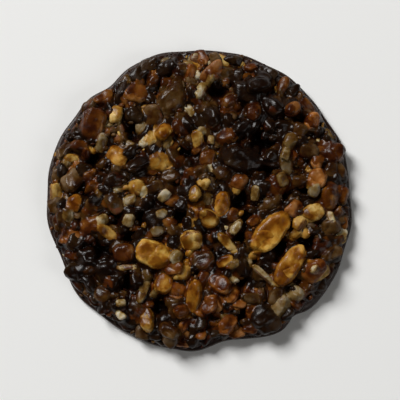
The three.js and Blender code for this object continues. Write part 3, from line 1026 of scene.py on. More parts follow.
    def laid_across(self, beneath: Chips, table: tuple[PieceRow, ...], first_index: int) -> Chips:
        """Lays pieces that have a place of their own across the pieces beneath them.

        A piece's ends, at a share of its half length, rest on the tops that are seen there, so it leans by
        atan((far - near) / distance), up to a limit, and its middle lies a share of its half height above
        their mean or above what is seen there, whichever is higher.

        Args:
            beneath: the pieces laid so far.
            table: the new ones.
            first_index: the first one's number.

        Returns:
            The new pieces.
        """
        rows = np.array([row[:5] for row in table], float)
        place, index = rows[:, :2], first_index + np.arange(len(rows))
        tone = np.array([row[5] for row in table], object)
        chips = self.seated(index, place, rows[:, 2:4], np.radians(rows[:, 4]), tone)
        reach = self.lesser_bearing * chips.half[:, 0]
        way = np.column_stack([np.cos(chips.turn), np.sin(chips.turn)]) * reach[:, None]
        far, middle, near = (
            np.maximum(beneath.seen_from_above(*at.T)[0], self.level.top(*at.T) - self.lesser_sink)
            for at in (place + way, place, place - way)
        )
        steepest = math.radians(self.lesser_tilt)
        chips.pitch = np.clip(np.arctan2(near - far, 2 * reach), -steepest, steepest)
        carried = np.maximum((far + near) / 2, middle)
        resting = carried + np.maximum(self.lesser_seat * chips.half[:, 2], self.lesser_least_seat)
        chips.centre[:, 2] = np.maximum(chips.centre[:, 2], resting)
        return chips

    def pieces(self) -> Chips:
        """Lays all the larger pieces: the solid's own, the lesser ones across them and pale bits, partly
        painted highlights.

        Returns:
            The pieces.
        """
        laid = self.top_pieces()
        laid = Chips.joined([laid, self.laid_across(laid, self.lesser, self.lesser_first_index)])
        return Chips.joined([laid, self.laid_across(laid, self.highlight_crumbs, self.highlight_crumbs_first_index)])

    def bits(self, stones: Chips) -> Chips:
        """Fills between the stones with bits: evenly spread, less those that a stone or a hollow takes.

        Place n lies at reach * sqrt(u) and 2 pi v, where u and v are its place in an even square.

        Args:
            stones: the larger pieces.

        Returns:
            The bits.
        """
        number = np.arange(self.bit_tries)
        index = self.bit_first_index + number
        u, v = even_square(number)
        angle = TURN * v
        place = at_angle((self.level.rim_at(angle) - self.bit_rim_margin) * np.sqrt(u), angle)
        size = drawn_sizes(index, self.bit_length, self.width_share, self.height_share, self.bit_length_power)
        gap, _ = stones.footprints(*place.T, np.zeros(len(index)))
        free = (gap > self.bit_clearance * size[:, 0]) & (self.hollowness(*place.T) < self.bit_most_hollow)
        z = self.level.top(*place.T) + between(self.bit_sunk, chance(index, Draw.LIFT))
        z = np.maximum(z, self.level.foot_top + self.bit_above_foot * size[:, 2])
        turn, lean = TURN * chance(index, Draw.TURN), drawn_lean(index, math.radians(self.bit_tilt))
        chips = Chips(index, np.column_stack([place, z]), size / 2, turn, *lean, self.tones(index, place))
        return chips.chosen(free)

    def side_chips(self) -> Chips:
        """Lays the small pieces that break up the side, evenly round the rim with a drawn stray each.

        Returns:
            The pieces, which lie level along the rim.
        """
        number = np.arange(self.side_pieces)
        index = self.side_first_index + number
        angle = TURN * (number + self.side_spread * chance(index, Draw.ANGLE)) / self.side_pieces
        size = drawn_sizes(index, self.side_length, self.width_share, self.height_share)
        half_height = between(self.side_half_height, chance(index, Draw.HEIGHT))
        half = np.column_stack([size[:, :2] / 2, half_height])
        away = self.level.rim_at(angle) - between(self.side_inset, chance(index, Draw.AWAY))
        z = self.level.foot_top + between(self.side_above_foot, chance(index, Draw.LIFT))
        centre = np.column_stack([at_angle(away, angle), z])
        level = np.zeros(len(index))
        return Chips(index, centre, half, angle + np.pi / 2, level, level, self.tones(index, centre[:, :2]))


# ------------------------------------------------------------------------------------ finishes
RANGE = ("From Min", "From Max", "To Min", "To Max")  # a Map Range node's sockets
NOISE_SPAN = (0.3, 0.7)  # where nearly all values of a noise texture lie


def per_metre(size: float) -> float:
    """Gives the scale of a pattern on Object coordinates whose features are size mm wide."""
    return 1 / (size * MM)


def add_node(
    tree: bpy.types.NodeTree, kind: str, output: str | None, inputs: dict[str | int, Any], **settings: Any
) -> bpy.types.NodeSocket | None:
    """Adds a node with its settings and links.

    Args:
        tree: the material's or the world's node tree.
        kind: the node's type, without the word ShaderNode that each begins with.
        output: which output socket is wanted, or None.
        inputs: for each input socket, by name or number, an output socket to link or a value to set.
        settings: the node's own properties.

    Returns:
        The output socket.
    """
    made = tree.nodes.new("ShaderNode" + kind)
    for name, value in settings.items():
        setattr(made, name, value)
    for name, value in inputs.items():
        if isinstance(value, bpy.types.NodeSocket):
            tree.links.new(value, made.inputs[name])
        else:
            made.inputs[name].default_value = value
    return made.outputs[output] if output else None


def new_finish(name: str) -> tuple[bpy.types.Material, Callable[..., Any], bpy.types.NodeSocket]:
    """Starts a material.

    Args:
        name: what the finish is.

    Returns:
        The material, add_node for its empty tree, and the Object coordinates that its patterns read.
    """
    material = bpy.data.materials.new(name)
    material.use_nodes = True
    material.node_tree.nodes.clear()
    add = partial(add_node, material.node_tree)
    return material, add, add("TexCoord", "Object", {})


@dataclass(frozen=True)
class Couverture:
    """Dark couverture chocolate, melted, spread and set: satin, almost black, hardly translucent.

    Its cocoa butter sets to a soft sheen with faint cloudy patches where it cooled slower, which the eye
    reads from the highlights, not the colour.
    """

    body: str = "#1f110a"
    cloud: str = "#2f1b10"
    cloud_size: float = 5.0
    ripple_size: float = 1.1
    ripple_height: float = 0.05
    roughness: Pair = (0.3, 0.48)

    def material(self) -> bpy.types.Material:
        """Makes the finish: clouded brown, sheen varied by the clouds, faint ripples.

        Returns:
            The material.
        """
        material, add, place = new_finish("dark_couverture")
        cloudy = {"Vector": place, "Scale": per_metre(self.cloud_size), "Detail": 4.0}
        clouds = add("TexNoise", "Fac", cloudy)
        rippled = {"Vector": place, "Scale": per_metre(self.ripple_size), "Detail": 3.0}
        ripples = add("TexNoise", "Fac", rippled)
        relief = {"Height": ripples, "Distance": self.ripple_height * MM, "Strength": 1.0}
        colours = {"Factor": clouds, "A": linear(self.body), "B": linear(self.cloud)}
        sheen = {"Value": clouds, **dict(zip(RANGE, NOISE_SPAN + self.roughness))}
        shader = {
            "Base Color": add("Mix", "Result", colours, data_type="RGBA"),
            "Roughness": add("MapRange", "Result", sheen),
            "IOR": 1.46,
            "Specular IOR Level": 0.3,
            "Normal": add("Bump", "Normal", relief),
            "Subsurface Weight": 0.05,
            "Subsurface Radius": (0.6, 0.3, 0.2),
            "Subsurface Scale": MM,
        }
        add("OutputMaterial", None, {"Surface": add("BsdfPrincipled", "BSDF", shader)})
        return material


@dataclass(frozen=True)
class CandiedAlmond:
    """Chopped roasted almond in burnt caramel: sugar, honey and cream boiled dark and set like brown glass.

    A thin film of it leaves the nut golden, a thicker one turns it rust, and where it pools it is almost
    black. It shines where it flowed, and a bare cut of nut is matt.
    """

    passing: Triple = (0.34, 0.21, 0.06)  # red, green and blue that come back from 1 mm deep
    pool: str = "#080402"
    skin: str = "#5a2c14"
    skin_ridges: Pair = (0.35, 0.6)  # of the noise, where a ridge of the skin begins and is full
    skin_least: float = 0.5  # share of the skin's colour between its ridges
    ridge_size: float = 0.35
    patch_size: float = 1.5
    patch_depth: float = 2.0  # mm of caramel, the patches' swing
    patch_light: Pair = (0.68, 1.14)  # how much they darken and lighten the nut
    patch_roughness: float = 0.12  # how much they vary its shine
    splash_size: float = 2.6
    splash_depth: float = 0.9  # mm of caramel where it splashed a nut
    splash_from: Pair = (0.48, 0.64)  # of the noise, where a splash begins and is full
    grit_size: float = 0.32
    grit_height: float = 0.05
    wet: Pair = (0.1, 0.8)  # mm of caramel, where a nut begins to shine and shines like the sugar
    bare_roughness: float = 0.5
    set_roughness: float = 0.23
    coat: float = 0.04

    def colour(self, add: Callable[..., Any], patches: bpy.types.NodeSocket) -> bpy.types.NodeSocket:
        """Gives the nut's own colour: lighter and darker in patches, brown in ridges where skin is left.

        Args:
            add: adds a node to the material's tree.
            patches: the noise of the patches.

        Returns:
            The colour.
        """
        mark = {name: add("Attribute", "Fac", {}, attribute_name=name) for name in ("skin", "grain")}
        nut = add("Attribute", "Vector", {}, attribute_name="nut")
        lighting = {"Value": patches, **dict(zip(RANGE, NOISE_SPAN + self.patch_light))}
        lit = {0: nut, "Scale": add("MapRange", "Result", lighting)}
        nut = add("VectorMath", "Vector", lit, operation="SCALE")
        streaks = {"W": mark["grain"], "Scale": 1 / self.ridge_size, "Detail": 1.0}
        ridges = add("TexNoise", "Fac", streaks, noise_dimensions="1D")
        ridged = {"Value": ridges, **dict(zip(RANGE, (*self.skin_ridges, self.skin_least, 1.0)))}
        skinned = add("MapRange", "Result", ridged)
        skinned = add("Math", "Value", {0: skinned, 1: mark["skin"]}, operation="MULTIPLY", use_clamp=True)
        return add("Mix", "Result", {"Factor": skinned, "A": nut, "B": linear(self.skin)}, data_type="RGBA")

    def depth(
        self, add: Callable[..., Any], place: bpy.types.NodeSocket, patches: bpy.types.NodeSocket
    ) -> bpy.types.NodeSocket:
        """Gives the caramel's depth: the mesh's own, swung by the patches but not below 0, plus splashes.

        Args:
            add: adds a node to the material's tree.
            place: Object coordinates.
            patches: the noise of the patches.

        Returns:
            The depth, mm.
        """
        laid = add("Attribute", "Fac", {}, attribute_name="depth")
        uneven = add("Math", "Value", {0: patches, 1: -0.5}, operation="ADD")
        depth = add("Math", "Value", {0: uneven, 1: self.patch_depth, 2: laid}, operation="MULTIPLY_ADD")
        depth = add("Math", "Value", {0: depth, 1: 0.0}, operation="MAXIMUM")
        noise = add("TexNoise", "Fac", {"Vector": place, "Scale": per_metre(self.splash_size), "Detail": 3.0})
        splashed = {"Value": noise, **dict(zip(RANGE, (*self.splash_from, 0.0, self.splash_depth)))}
        return add("Math", "Value", {0: depth, 1: add("MapRange", "Result", splashed)}, operation="ADD")

    def material(self, name: str) -> bpy.types.Material:
        """Makes the finish: the nut's colour times what passes through the caramel to the power of its depth.

        Args:
            name: what the finish is.

        Returns:
            The material.
        """
        material, add, place = new_finish(name)
        patch = {"Vector": place, "Scale": per_metre(self.patch_size), "Detail": 5.0, "Roughness": 0.55}
        patches = add("TexNoise", "Fac", patch)
        nut, depth = self.colour(add, patches), self.depth(add, place, patches)
        left = [add("Math", "Value", {0: share, 1: depth}, operation="POWER") for share in self.passing]
        passed = add("CombineXYZ", "Vector", dict(zip("XYZ", left)))
        stained = {0: nut, 1: passed, 2: linear(self.pool)[:3]}
        wetted = {"Value": depth, **dict(zip(RANGE, (*self.wet, self.bare_roughness, self.set_roughness)))}
        roughness = {0: patches, 1: self.patch_roughness, 2: add("MapRange", "Result", wetted)}
        grit = add("TexNoise", "Fac", {"Vector": place, "Scale": per_metre(self.grit_size), "Detail": 2.0})
        relief = {"Height": grit, "Distance": self.grit_height * MM, "Strength": 1.0}
        shader = {
            "Base Color": add("VectorMath", "Vector", stained, operation="MULTIPLY_ADD"),
            "Roughness": add("Math", "Value", roughness, operation="MULTIPLY_ADD"),
            "IOR": 1.48,
            "Normal": add("Bump", "Normal", relief),
            "Coat Weight": self.coat,
            "Coat Roughness": 0.08,
            "Coat IOR": 1.49,
            "Specular IOR Level": 0.18,
            "Subsurface Weight": 0.12,
            "Subsurface Radius": (1.2, 0.5, 0.2),
            "Subsurface Scale": MM,
        }
        add("OutputMaterial", None, {"Surface": add("BsdfPrincipled", "BSDF", shader)})
        return material


@dataclass(frozen=True)
class PaperFloor:
    """White background card: matt, with the faint tooth of its pulp."""

    card: str = "#f4f4f2"
    tooth_size: float = 0.6
    tooth_height: float = 0.01

    def material(self) -> bpy.types.Material:
        """Makes the finish: one pale tone, its tooth as a faint relief.

        Returns:
            The material.
        """
        material, add, place = new_finish("white_card")
        tooth = add("TexNoise", "Fac", {"Vector": place, "Scale": per_metre(self.tooth_size), "Detail": 2.0})
        relief = add("Bump", "Normal", {"Height": tooth, "Distance": self.tooth_height * MM})
        shader = {"Base Color": linear(self.card), "Roughness": 0.85, "Normal": relief}
        add("OutputMaterial", None, {"Surface": add("BsdfPrincipled", "BSDF", shader)})
        return material


# ------------------------------------------------------------------------------------ the biscuit
def fit_out(piece: bpy.types.Object, node: str) -> None:
    """Lets a piece ride on the biscuit and stand for its solid, and reports it.

    Args:
        piece: the finished piece.
        node: the solid that it replaces.
    """
    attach(piece, "root")
    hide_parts(node)
    LOG.info("%s: %d triangles", piece.name, len(piece.data.polygons))


@dataclass(frozen=True)
class ChocolateFoot:
    """The chocolate under the biscuit: round at the edge, lapping up the caramel in lobes, combed beneath."""

    level: CaramelLevel
    sectors: int = 420
    bottom_rings: int = 56
    bottom_shares: Pair = (0.02, 0.98)  # of the flat's radius, where the first ring and the last one lie
    edge_rings: int = 19
    top_inset: float = 0.5  # how far the edge's rounding reaches in
    bottom_inset: float = 1.1
    lap: float = 0.55  # how high it laps up the caramel
    lap_rings: int = 7
    lap_first: float = 0.15  # share of the way along the lap
    lap_reach: float = 0.75  # from the edge to the lap's end
    lap_bend: float = 0.62  # half turns of the sine that it follows
    lobe_circle: float = 32.0
    lobe_noise: tuple[Pair, ...] = ((5.0, 0.6), (1.9, 0.3))  # cell, and swing as a share of the lap
    tuck: Pair = (1.9, 0.3)  # in from the edge and down, where the chocolate ends in the caramel
    tuck_share: float = 0.5  # of the radius, where its last ring lies
    comb_spacing: float = 4.2
    comb_wave: float = 16.0
    comb_swing: float = 1.1
    comb_depth: float = 0.28
    comb_edge: Pair = (0.6, 2.2)  # in from the flat's rim, where the furrows begin and are full
    finish: Couverture = Couverture()

    def lobes(self, angle: Array) -> Array:
        """Gives how high the chocolate laps at each angle, 0 to 1: noise read round a circle."""
        ring = np.concatenate([at_angle(self.lobe_circle, angle), np.zeros((len(angle), 1))], axis=-1)
        return np.clip(layered_noise(ring, self.lobe_noise, Noise.LOBES, 0.5), 0, 1)

    def shell(self) -> Shell:
        """Makes the foot as a profile carried round the outline.

        The edge is r = R - inset (1 - cos p), z = h/2 (1 + sin p) for p from -90 to 90 degrees, with one
        inset below and a smaller one above. Then the lap climbs and dives under the caramel. Beneath, the
        comb's furrows rise as depth * (0.5 + 0.5 cos(2 pi (y + swing sin(2 pi x / wave)) / spacing))^2.

        Returns:
            The closed shell.
        """
        angle = TURN * np.arange(self.sectors) / self.sectors
        edge = self.level.outline.radius_at(angle)
        lobes, flat = self.lobes(angle), np.ones_like(angle)
        height = self.level.foot_top
        under, sunk = edge - self.bottom_inset, height - self.tuck[1]
        rows = [(under * share, 0 * flat) for share in np.linspace(*self.bottom_shares, self.bottom_rings)]
        for p in np.linspace(-np.pi / 2, np.pi / 2, self.edge_rings):
            inset = self.bottom_inset if p < 0 else self.top_inset
            rows.append((edge - inset * (1 - math.cos(p)), height / 2 * (1 + math.sin(p)) * flat))
        for step in np.linspace(self.lap_first, 1, self.lap_rings):
            inwards = self.top_inset + self.lap_reach * step
            rows.append((edge - inwards, height + self.lap * lobes * math.sin(np.pi * step * self.lap_bend)))
        rows += [(edge - self.tuck[0], sunk * flat), (edge * self.tuck_share, sunk * flat)]
        radius, z = (np.array([row[k] for row in rows]) for k in (0, 1))
        x, y = np.moveaxis(at_angle(radius, angle), -1, 0)
        combed = smooth_step(under - radius, *self.comb_edge) * (z == 0)
        furrow = (y + self.comb_swing * np.sin(TURN * x / self.comb_wave)) / self.comb_spacing
        z = z + combed * self.comb_depth * (0.5 + 0.5 * np.cos(TURN * furrow)) ** 2
        points = np.stack([x, y, z], axis=-1).reshape(-1, 3)
        bottom, top = len(points), len(points) + 1
        points = np.concatenate([points, [[0, 0, z[0].mean()], [0, 0, sunk]]])
        first, last = np.arange(self.sectors), (len(rows) - 1) * self.sectors + np.arange(self.sectors)
        ends = [fan_triangles(first, bottom, True), fan_triangles(last, top, False)]
        return Shell(points, np.concatenate([band_triangles(len(rows), self.sectors), *ends]))

    def build(self) -> None:
        """Makes the piece."""
        fit_out(self.shell().to_object("couverture_foot", self.finish.material()), FOOT_NODE)


@dataclass
class CaramelFilm:
    """The caramel between the pieces and over them: pits, a climb up each piece and a patchy film on its top.

    A place on it has two parameters: t, the share of the way along the profile from the middle of the top
    over the shoulder to the foot, and the angle about Z.
    """

    level: CaramelLevel
    layout: Layout
    stones: Chips
    across: int = 312  # places of its grid either way
    sunk: float = 1.7  # from the caramel's level down to its bed
    hollow_depth: float = 1.6
    undercut: float = 0.4  # how far the wall draws in on its way down
    wall_foot: float = 1.25  # height of its lower edge
    top_steps: int = 200
    shoulder: float = 0.1  # share of the radius where the table's steps crowd towards the rim
    shoulder_crowding: float = 2.5
    wall_steps: int = 12
    grains: tuple[Pair, ...] = ((2.1, 0.8), (1.0, 0.35))  # spacing and height
    grain_reach: float = 0.55  # cells from a grain's middle, where it stands level
    film: tuple[Pair, ...] = ((2.6, 0.5), (1.0, 0.25))  # cell and swing of its thickness
    film_mean: float = 0.18
    film_from: Pair = (0.2, 0.6)  # of the dome's height, where the film begins and is full
    cover_share: float = 0.6  # how far a roast's cover counts
    mean_coat_and_shade: float = 0.2  # what a nut's darker side, caramel and painted shade, adds on average
    smoothings: int = 3
    nut_shows: float = 0.9  # the deepest film that a nut shows through
    bed: str = "#40240f"
    bed_depth: Pair = (0.45, 1.5)  # of the caramel over it
    bed_cell: float = 2.6
    caramel_and_shade_in_hollows: float = 2  # more there: caramel that collects, and painted shade
    finish: CandiedAlmond = CandiedAlmond(bare_roughness=0.3)
    radius_table: Array = field(init=False)
    share_table: Array = field(init=False)
    dome_table: Array = field(init=False)
    wall_table: Array = field(init=False)
    out_table: Array = field(init=False)
    up_table: Array = field(init=False)
    t_table: Array = field(init=False)
    points: Array = field(init=False)
    marks: dict[str, Array] = field(init=False)

    def __post_init__(self) -> None:
        """Tabulates the profile by its length, then lays the film over the pieces."""
        even = np.linspace(0, 1 - self.shoulder, self.top_steps)
        crowded = (1 - np.linspace(0, 1, self.top_steps)[1:]) ** self.shoulder_crowding
        out = np.concatenate([even, 1 - self.shoulder * crowded])
        down = np.linspace(0, 1, self.wall_steps)[1:]
        share = np.concatenate([out, np.ones(len(down))])
        dome = np.concatenate([np.sqrt(1 - out**self.level.shoulder_power), np.zeros(len(down))])
        wall = np.concatenate([np.zeros(len(out)), down])
        r = self.level.outline.radius * share - self.undercut * wall
        z = self.height(self.level.middle_height - self.level.edge_height, dome, wall)
        length = np.concatenate([[0], np.cumsum(np.hypot(np.diff(r), np.diff(z)))])
        slope_r, slope_z = np.gradient(r, length), np.gradient(z, length)
        steep = np.hypot(slope_r, slope_z)
        self.radius_table, self.share_table, self.dome_table, self.wall_table = r, share, dome, wall
        self.out_table, self.up_table, self.t_table = -slope_z / steep, slope_r / steep, length / length[-1]
        self.points, self.marks = self.laid()

    def height(self, rise: Array | float, dome: Array, wall: Array) -> Array:
        """Gives z = edge + rise * dome - (edge - foot of the wall) * wall."""
        return self.level.edge_height + rise * dome - (self.level.edge_height - self.wall_foot) * wall

    def along(self, t: Array, table: Array) -> Array:
        """Reads a table of the profile at t."""
        return np.interp(t, self.t_table, table)

    def bare_skin(self, t: Array, angle: Array) -> tuple[Array, Array]:
        """Gives the profile's own points, without relief, and their outward normals.

        Args:
            t: share of the way along the profile.
            angle: radians about Z.

        Returns:
            The points and the normals, each with x, y and z last.
        """
        tables = (self.share_table, self.dome_table, self.wall_table, self.out_table, self.up_table)
        share, dome, wall, out, up = (self.along(t, table) for table in tables)
        away = self.level.rim_at(angle) * share - self.undercut * wall
        x, y = away * np.cos(angle), away * np.sin(angle)
        z = self.height(self.level.rise(x, y) - self.sunk, dome, wall)
        normal = np.stack([out * np.cos(angle), out * np.sin(angle), up], axis=-1)
        return np.stack([x, y, z], axis=-1), normal

    def relief(self, points: Array) -> Array:
        """Gives the crumbly relief: for each size of grain, height * (reach - distance to its middle), mm.

        Args:
            points: places in mm, with x, y and z last.

        Returns:
            How far each place is moved out.
        """
        total = 0
        for channel, (cell, height) in zip(itertools.count(Noise.GRAINS, 3), self.grains):
            total = total + height * (self.grain_reach - grain_distance(points, cell, channel))
        return total

    def grid(self) -> tuple[Array, Array]:
        """Lays a square grid over the disc.

        A grid place (a, b) from -1 to 1 goes to t = max(|a|, |b|), and its angle is an eighth of a turn
        times the smaller over the larger, counted from the axis that it is nearer to.

        Returns:
            t and the angle at each place of the grid.
        """
        ticks = np.linspace(-1, 1, self.across)
        a, b = np.meshgrid(ticks, ticks, indexing="ij")
        near_x = np.abs(a) >= np.abs(b)
        angle = np.where(near_x, b / a + 4 * (a < 0), 2 - a / b + 4 * (b < 0)) * np.pi / 4
        return np.maximum(np.abs(a), np.abs(b)), angle

    def smoothed(self, z: Array) -> Array:
        """Smooths heights on the grid by (1 2 1) / 4 along both of its ways, as a liquid would.

        Args:
            z: the heights, row by row.

        Returns:
            The smoothed heights, row by row.
        """
        z = z.reshape(self.across, self.across)
        for axis in (0, 1) * self.smoothings:
            pad = np.pad(z, [(1, 1) if k == axis else (0, 0) for k in (0, 1)], mode="edge")
            before, after = (np.take(pad, np.arange(self.across) + step, axis) for step in (0, 2))
            z = (before + 2 * z + after) / 4
        return z.ravel()

    def laid(self) -> tuple[Array, dict[str, Array]]:
        """Lays the film: the profile out by its relief, up by the climb, down in the hollows, over the tops.

        Over a piece's top the film lies at top + mean + cover + noise, so it breaks where that is less than
        the top.

        Returns:
            The points of the grid, row by row, and their marks.
        """
        t, angle = (values.ravel() for values in self.grid())
        points, normal = self.bare_skin(t, angle)
        points = points + normal * self.relief(points)[:, None]
        x, y, z = points.T
        dome = self.along(t, self.dome_table)
        hollowness = self.layout.hollowness(x, y)
        _, climb = self.stones.footprints(x, y, z)
        z = z + (climb - self.hollow_depth * hollowness) * dome
        top, row = self.stones.seen_from_above(x, y)
        cover = self.film_mean + self.cover_share * self.stones.covers()[row]
        film = layered_noise(points, self.film, Noise.FILM, cover)
        z = self.smoothed(z + np.maximum(0, top + film - z) * smooth_step(dome, *self.film_from))
        points = np.stack([x, y, z], axis=-1)
        covered = np.maximum(0, z - top)
        over_nut = np.maximum(0, covered + glaze(points) + self.stones.coats()[row] + self.mean_coat_and_shade)
        uneven = 0.5 + 0.5 * rolling_noise(points, self.bed_cell, Noise.BED)
        # Painted shade as well as caramel: the bed is made darker in the hollows.
        bed = between(self.bed_depth, uneven) + self.caramel_and_shade_in_hollows * hollowness
        on_nut = covered < self.nut_shows
        marks = {
            "nut": np.where(on_nut[:, None], self.stones.nuts()[row], linear(self.bed)[:3]),
            "depth": np.where(on_nut, over_nut, bed),
            "skin": np.zeros(len(z)),
            "grain": np.zeros(len(z)),
        }
        return points, marks

    def height_at(self, x: Array, y: Array) -> Array:
        """Gives the height of the film on the top at each place, from the four places of the grid about it.

        The grid's rule is turned round: (a, b) is t times the nearer axis and t times the share of an
        eighth of a turn past it along the axis a quarter on.

        Args:
            x: places in mm.
            y: the same places' y.

        Returns:
            The heights, mm.
        """
        angle = np.arctan2(y, x)
        share = np.minimum(1, np.hypot(x, y) / self.level.rim_at(angle))
        on_top = self.wall_table == 0
        t = np.interp(share, self.share_table[on_top], self.t_table[on_top])
        axis = np.round(angle / (np.pi / 2)) * np.pi / 2
        past = (angle - axis) / (np.pi / 4)
        a, b = t * (np.cos(axis) - past * np.sin(axis)), t * (np.sin(axis) + past * np.cos(axis))
        grid = self.points[:, 2].reshape(self.across, self.across)
        i, j = ((np.clip(c, -1, 1) + 1) / 2 * (self.across - 1) for c in (a, b))
        low_i, low_j = (np.minimum(c.astype(int), self.across - 2) for c in (i, j))
        i, j = i - low_i, j - low_j
        near, far = (grid[k, low_j] * (1 - j) + grid[k, low_j + 1] * j for k in (low_i, low_i + 1))
        return near * (1 - i) + far * i

    def shell(self) -> Shell:
        """Joins the grid and closes it beneath with a fan.

        Returns:
            The closed shell.
        """
        number = np.arange(self.across**2).reshape(self.across, self.across)
        top = quads_as_triangles(number[:-1, :-1], number[1:, :-1], number[1:, 1:], number[:-1, 1:])
        ring = np.concatenate([number[:-1, 0], number[-1, :-1], number[:0:-1, -1], number[0, :0:-1]])
        points = np.concatenate([self.points, [[0, 0, self.wall_foot]]])
        marks = {name: np.concatenate([values, values[:1]]) for name, values in self.marks.items()}
        return Shell(points, np.concatenate([top, fan_triangles(ring, len(points) - 1, True)]), marks)

    def build(self) -> None:
        """Makes the piece."""
        piece = self.shell().to_object("caramel_film", self.finish.material("burnt_caramel"))
        fit_out(piece, ALMOND_NODE)


@dataclass(frozen=True)
class AlmondPieces:
    """The almond pieces, one mesh for each kind: those on top, those at the side and the bits between."""

    pieces: Chips
    side: Chips
    bits: Chips
    grids: tuple[tuple[float, Chopper], ...] = (  # the least mean half size that each grid is for
        (2.3, Chopper(40, 28)),
        (1.5, Chopper(32, 22)),
        (0.0, Chopper(22, 15)),
    )
    bit_chopper: Chopper = Chopper(10, 7)
    finish: CandiedAlmond = CandiedAlmond()

    def shell(self, chips: Chips) -> Shell:
        """Makes pieces as one shell, each on the grid for its size.

        Args:
            chips: the pieces.

        Returns:
            The shell.
        """
        mean = chips.half[:, :2].mean(axis=1)
        shells, limit = [], math.inf
        for least, chopper in self.grids:
            chosen = (mean >= least) & (mean < limit)
            limit = least
            if chosen.any():
                shells.append(chopper.shell(chips.chosen(chosen)))
        return Shell.joined(shells)

    def build(self) -> None:
        """Makes the pieces, all with one finish."""
        material = self.finish.material("candied_almond")
        shells = {
            "almond_pieces": self.shell(self.pieces),
            "almond_side_pieces": self.shell(self.side),
            "almond_bits": self.bit_chopper.shell(self.bits),
        }
        for name, shell in shells.items():
            fit_out(shell.to_object(name, material), ALMOND_NODE)


@dataclass(frozen=True)
class Crumbs:
    """The finest chopped almond, coated and stuck all over between the pieces."""

    film: CaramelFilm
    count: int = 1000
    first_index: int = 20000
    lowest: float = 0.985  # share of the way along the profile
    half_length: Pair = (0.35, 0.85)
    length_power: float = 1.6  # the higher, the more short ones
    width_share: Pair = (0.5, 0.9)
    height_share: Pair = (0.5, 0.9)
    seat: Pair = (-0.5, 0.4)  # where a crumb's middle lies above the film, in half heights
    top_from: float = 0.3  # of the dome's height, above which a crumb lies on the top
    clear_of_stones: float = -0.1
    most_hollow: float = 0.3
    tilt: float = 0.9  # radians either way
    chopper: Chopper = Chopper(7, 5, lumps=(0.7, 0.1), nicks=(0.3, 0.03))
    tone_shares: tuple[tuple[Tone, float], ...] = (
        (Tone.RUST, 0.14),
        (Tone.BROWN, 0.34),
        (Tone.GOLD, 0.07),
        (Tone.PALE, 0.06),
    )
    finish: CandiedAlmond = CandiedAlmond(patch_size=0.7)

    def places(self) -> tuple[Array, Array, Array]:
        """Spreads numbered places evenly over the skin's area.

        Place n takes its place in an even square: the first side, through the area grown along the
        profile, gives t, and the second gives the angle.

        Returns:
            The numbers, t and the angles.
        """
        number = np.arange(self.count)
        first, second = even_square(number)
        table = self.film.t_table <= self.lowest
        t, radius = self.film.t_table[table], self.film.radius_table[table]
        area = np.concatenate([[0], np.cumsum(np.diff(t) * (radius[1:] + radius[:-1]))])
        return self.first_index + number, np.interp(first, area / area[-1], t), TURN * second

    def chips(self) -> Chips:
        """Seats a crumb at each place that no stone and no hollow takes, turned at random.

        Returns:
            The crumbs.
        """
        index, t, angle = self.places()
        points, normal = self.film.bare_skin(t, angle)
        on_top = self.film.along(t, self.film.dome_table) > self.top_from
        points[:, 2] = np.where(on_top, self.film.height_at(points[:, 0], points[:, 1]), points[:, 2])
        gap, _ = self.film.stones.footprints(*points.T)
        hollow = self.film.layout.hollowness(points[:, 0], points[:, 1]) > self.most_hollow
        free = ~on_top | ((gap > self.clear_of_stones) & ~hollow)
        index, points, normal = index[free], points[free], normal[free]
        half = drawn_sizes(index, self.half_length, self.width_share, self.height_share, self.length_power)
        centre = points + normal * (between(self.seat, chance(index, Draw.LIFT)) * half[:, 2])[:, None]
        turn, tone = TURN * chance(index, Draw.TURN), drawn_tones(chance(index, Draw.TONE), self.tone_shares)
        return Chips(index, centre, half, turn, *drawn_lean(index, self.tilt), tone)

    def build(self) -> None:
        """Makes the finest chopped almond as one piece."""
        material = self.finish.material("candied_crumb")
        piece = self.chopper.shell(self.chips()).to_object("almond_crumbs", material)
        fit_out(piece, ALMOND_NODE)


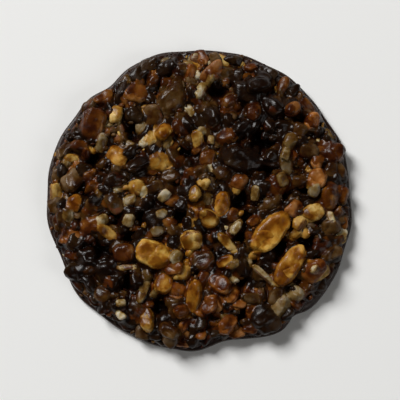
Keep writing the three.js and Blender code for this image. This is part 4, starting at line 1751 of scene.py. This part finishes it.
# ------------------------------------------------------------------------------------ studio
@dataclass(frozen=True)
class Studio:
    """White card, a soft key from behind to the left, a weaker fill, and a camera nearly straight above."""

    floor_half: float = 3.0  # metres
    softboxes: tuple[tuple[str, Triple, float, float], ...] = (  # name, place and side in metres, watts
        ("key", (-0.95, 1.05, 1.3), 0.75, 42.0),
        ("fill", (1.5, -0.75, 1.25), 1.0, 6.5),
    )
    wall_colour: str = "#fffaf2"
    wall_light: Pair = (0.1, 0.03)  # at the foot and at the top
    wall_top: float = 0.8  # sine of its angle above the card
    azimuth: float = 0  # degrees
    elevation: float = 86  # degrees
    distance: float = 0.42  # metres
    lens: float = 180
    clip_start: float = 0.01  # metres
    aim: Triple = (0, 0, 0.003)  # metres

    def floor(self) -> None:
        """Lays the card."""
        h = self.floor_half / MM
        corners = np.array([[-h, -h, 0], [h, -h, 0], [h, h, 0], [-h, h, 0]])
        card = Shell(corners, np.array([[0, 1, 2], [0, 2, 3]]))
        card.to_object("white_card", PaperFloor().material())

    def hang(self, name: str, data: bpy.types.ID, place: Vector, way: Vector) -> bpy.types.Object:
        """Hangs a light or a camera, turned to look along a way.

        Args:
            name: the object's name.
            data: the light or the camera.
            place: in metres.
            way: where it looks.

        Returns:
            The object.
        """
        made = bpy.data.objects.new(name, data)
        made.location = place
        made.rotation_euler = way.to_track_quat("-Z", "Y").to_euler()
        bpy.context.scene.collection.objects.link(made)
        return made

    def softbox(self, name: str, place: Triple, side: float, watts: float) -> None:
        """Hangs a square soft light that faces the biscuit.

        Args:
            name: the light's name.
            place: in metres.
            side: in metres.
            watts: its power.
        """
        light = bpy.data.lights.new(name, "AREA")
        light.shape = "SQUARE"
        light.size = side
        light.energy = watts
        self.hang(name, light, Vector(place), -Vector(place))

    def walls(self) -> None:
        """Surrounds the card with dim walls that darken towards the ceiling, where the camera hangs."""
        world = bpy.data.worlds.new("studio")
        world.use_nodes = True
        world.node_tree.nodes.clear()
        add = partial(add_node, world.node_tree)
        up = add("SeparateXYZ", "Z", {"Vector": add("TexCoord", "Generated", {})})
        fading = {"Value": up, **dict(zip(RANGE, (0.0, self.wall_top, *self.wall_light)))}
        wall = {"Color": linear(self.wall_colour), "Strength": add("MapRange", "Result", fading)}
        add("OutputWorld", None, {"Surface": add("Background", "Background", wall)})
        bpy.context.scene.world = world

    def camera(self) -> None:
        """Sets the camera on its line of sight: back from the aim by the distance."""
        a, e = math.radians(self.azimuth), math.radians(self.elevation)
        back = Vector((math.sin(a) * math.cos(e), -math.cos(a) * math.cos(e), math.sin(e)))
        camera = bpy.data.cameras.new("camera")
        camera.lens = self.lens
        camera.clip_start = self.clip_start
        place = Vector(self.aim) + back * self.distance
        bpy.context.scene.camera = self.hang("camera", camera, place, -back)

    def build(self) -> None:
        """Sets up the card, the lights, the camera and the plain print of colours."""
        self.floor()
        for box in self.softboxes:
            self.softbox(*box)
        self.walls()
        self.camera()
        view = bpy.context.scene.view_settings
        view.view_transform = "Standard"
        view.look = "None"


def main() -> None:
    """Builds the biscuit from the foot up, then the studio, and reports each piece."""
    logging.basicConfig(level=logging.INFO, format="%(message)s")
    level = CaramelLevel(Outline())
    layout = Layout(level)
    pieces, side = layout.pieces(), layout.side_chips()
    bits = layout.bits(pieces)
    LOG.info("%d pieces on top, %d at the side, %d bits", len(pieces), len(side), len(bits))
    ChocolateFoot(level).build()
    film = CaramelFilm(level, layout, Chips.joined([pieces, bits]))
    film.build()
    AlmondPieces(pieces, side, bits).build()
    Crumbs(film).build()
    Studio().build()


if __name__ == "__main__":
    main()
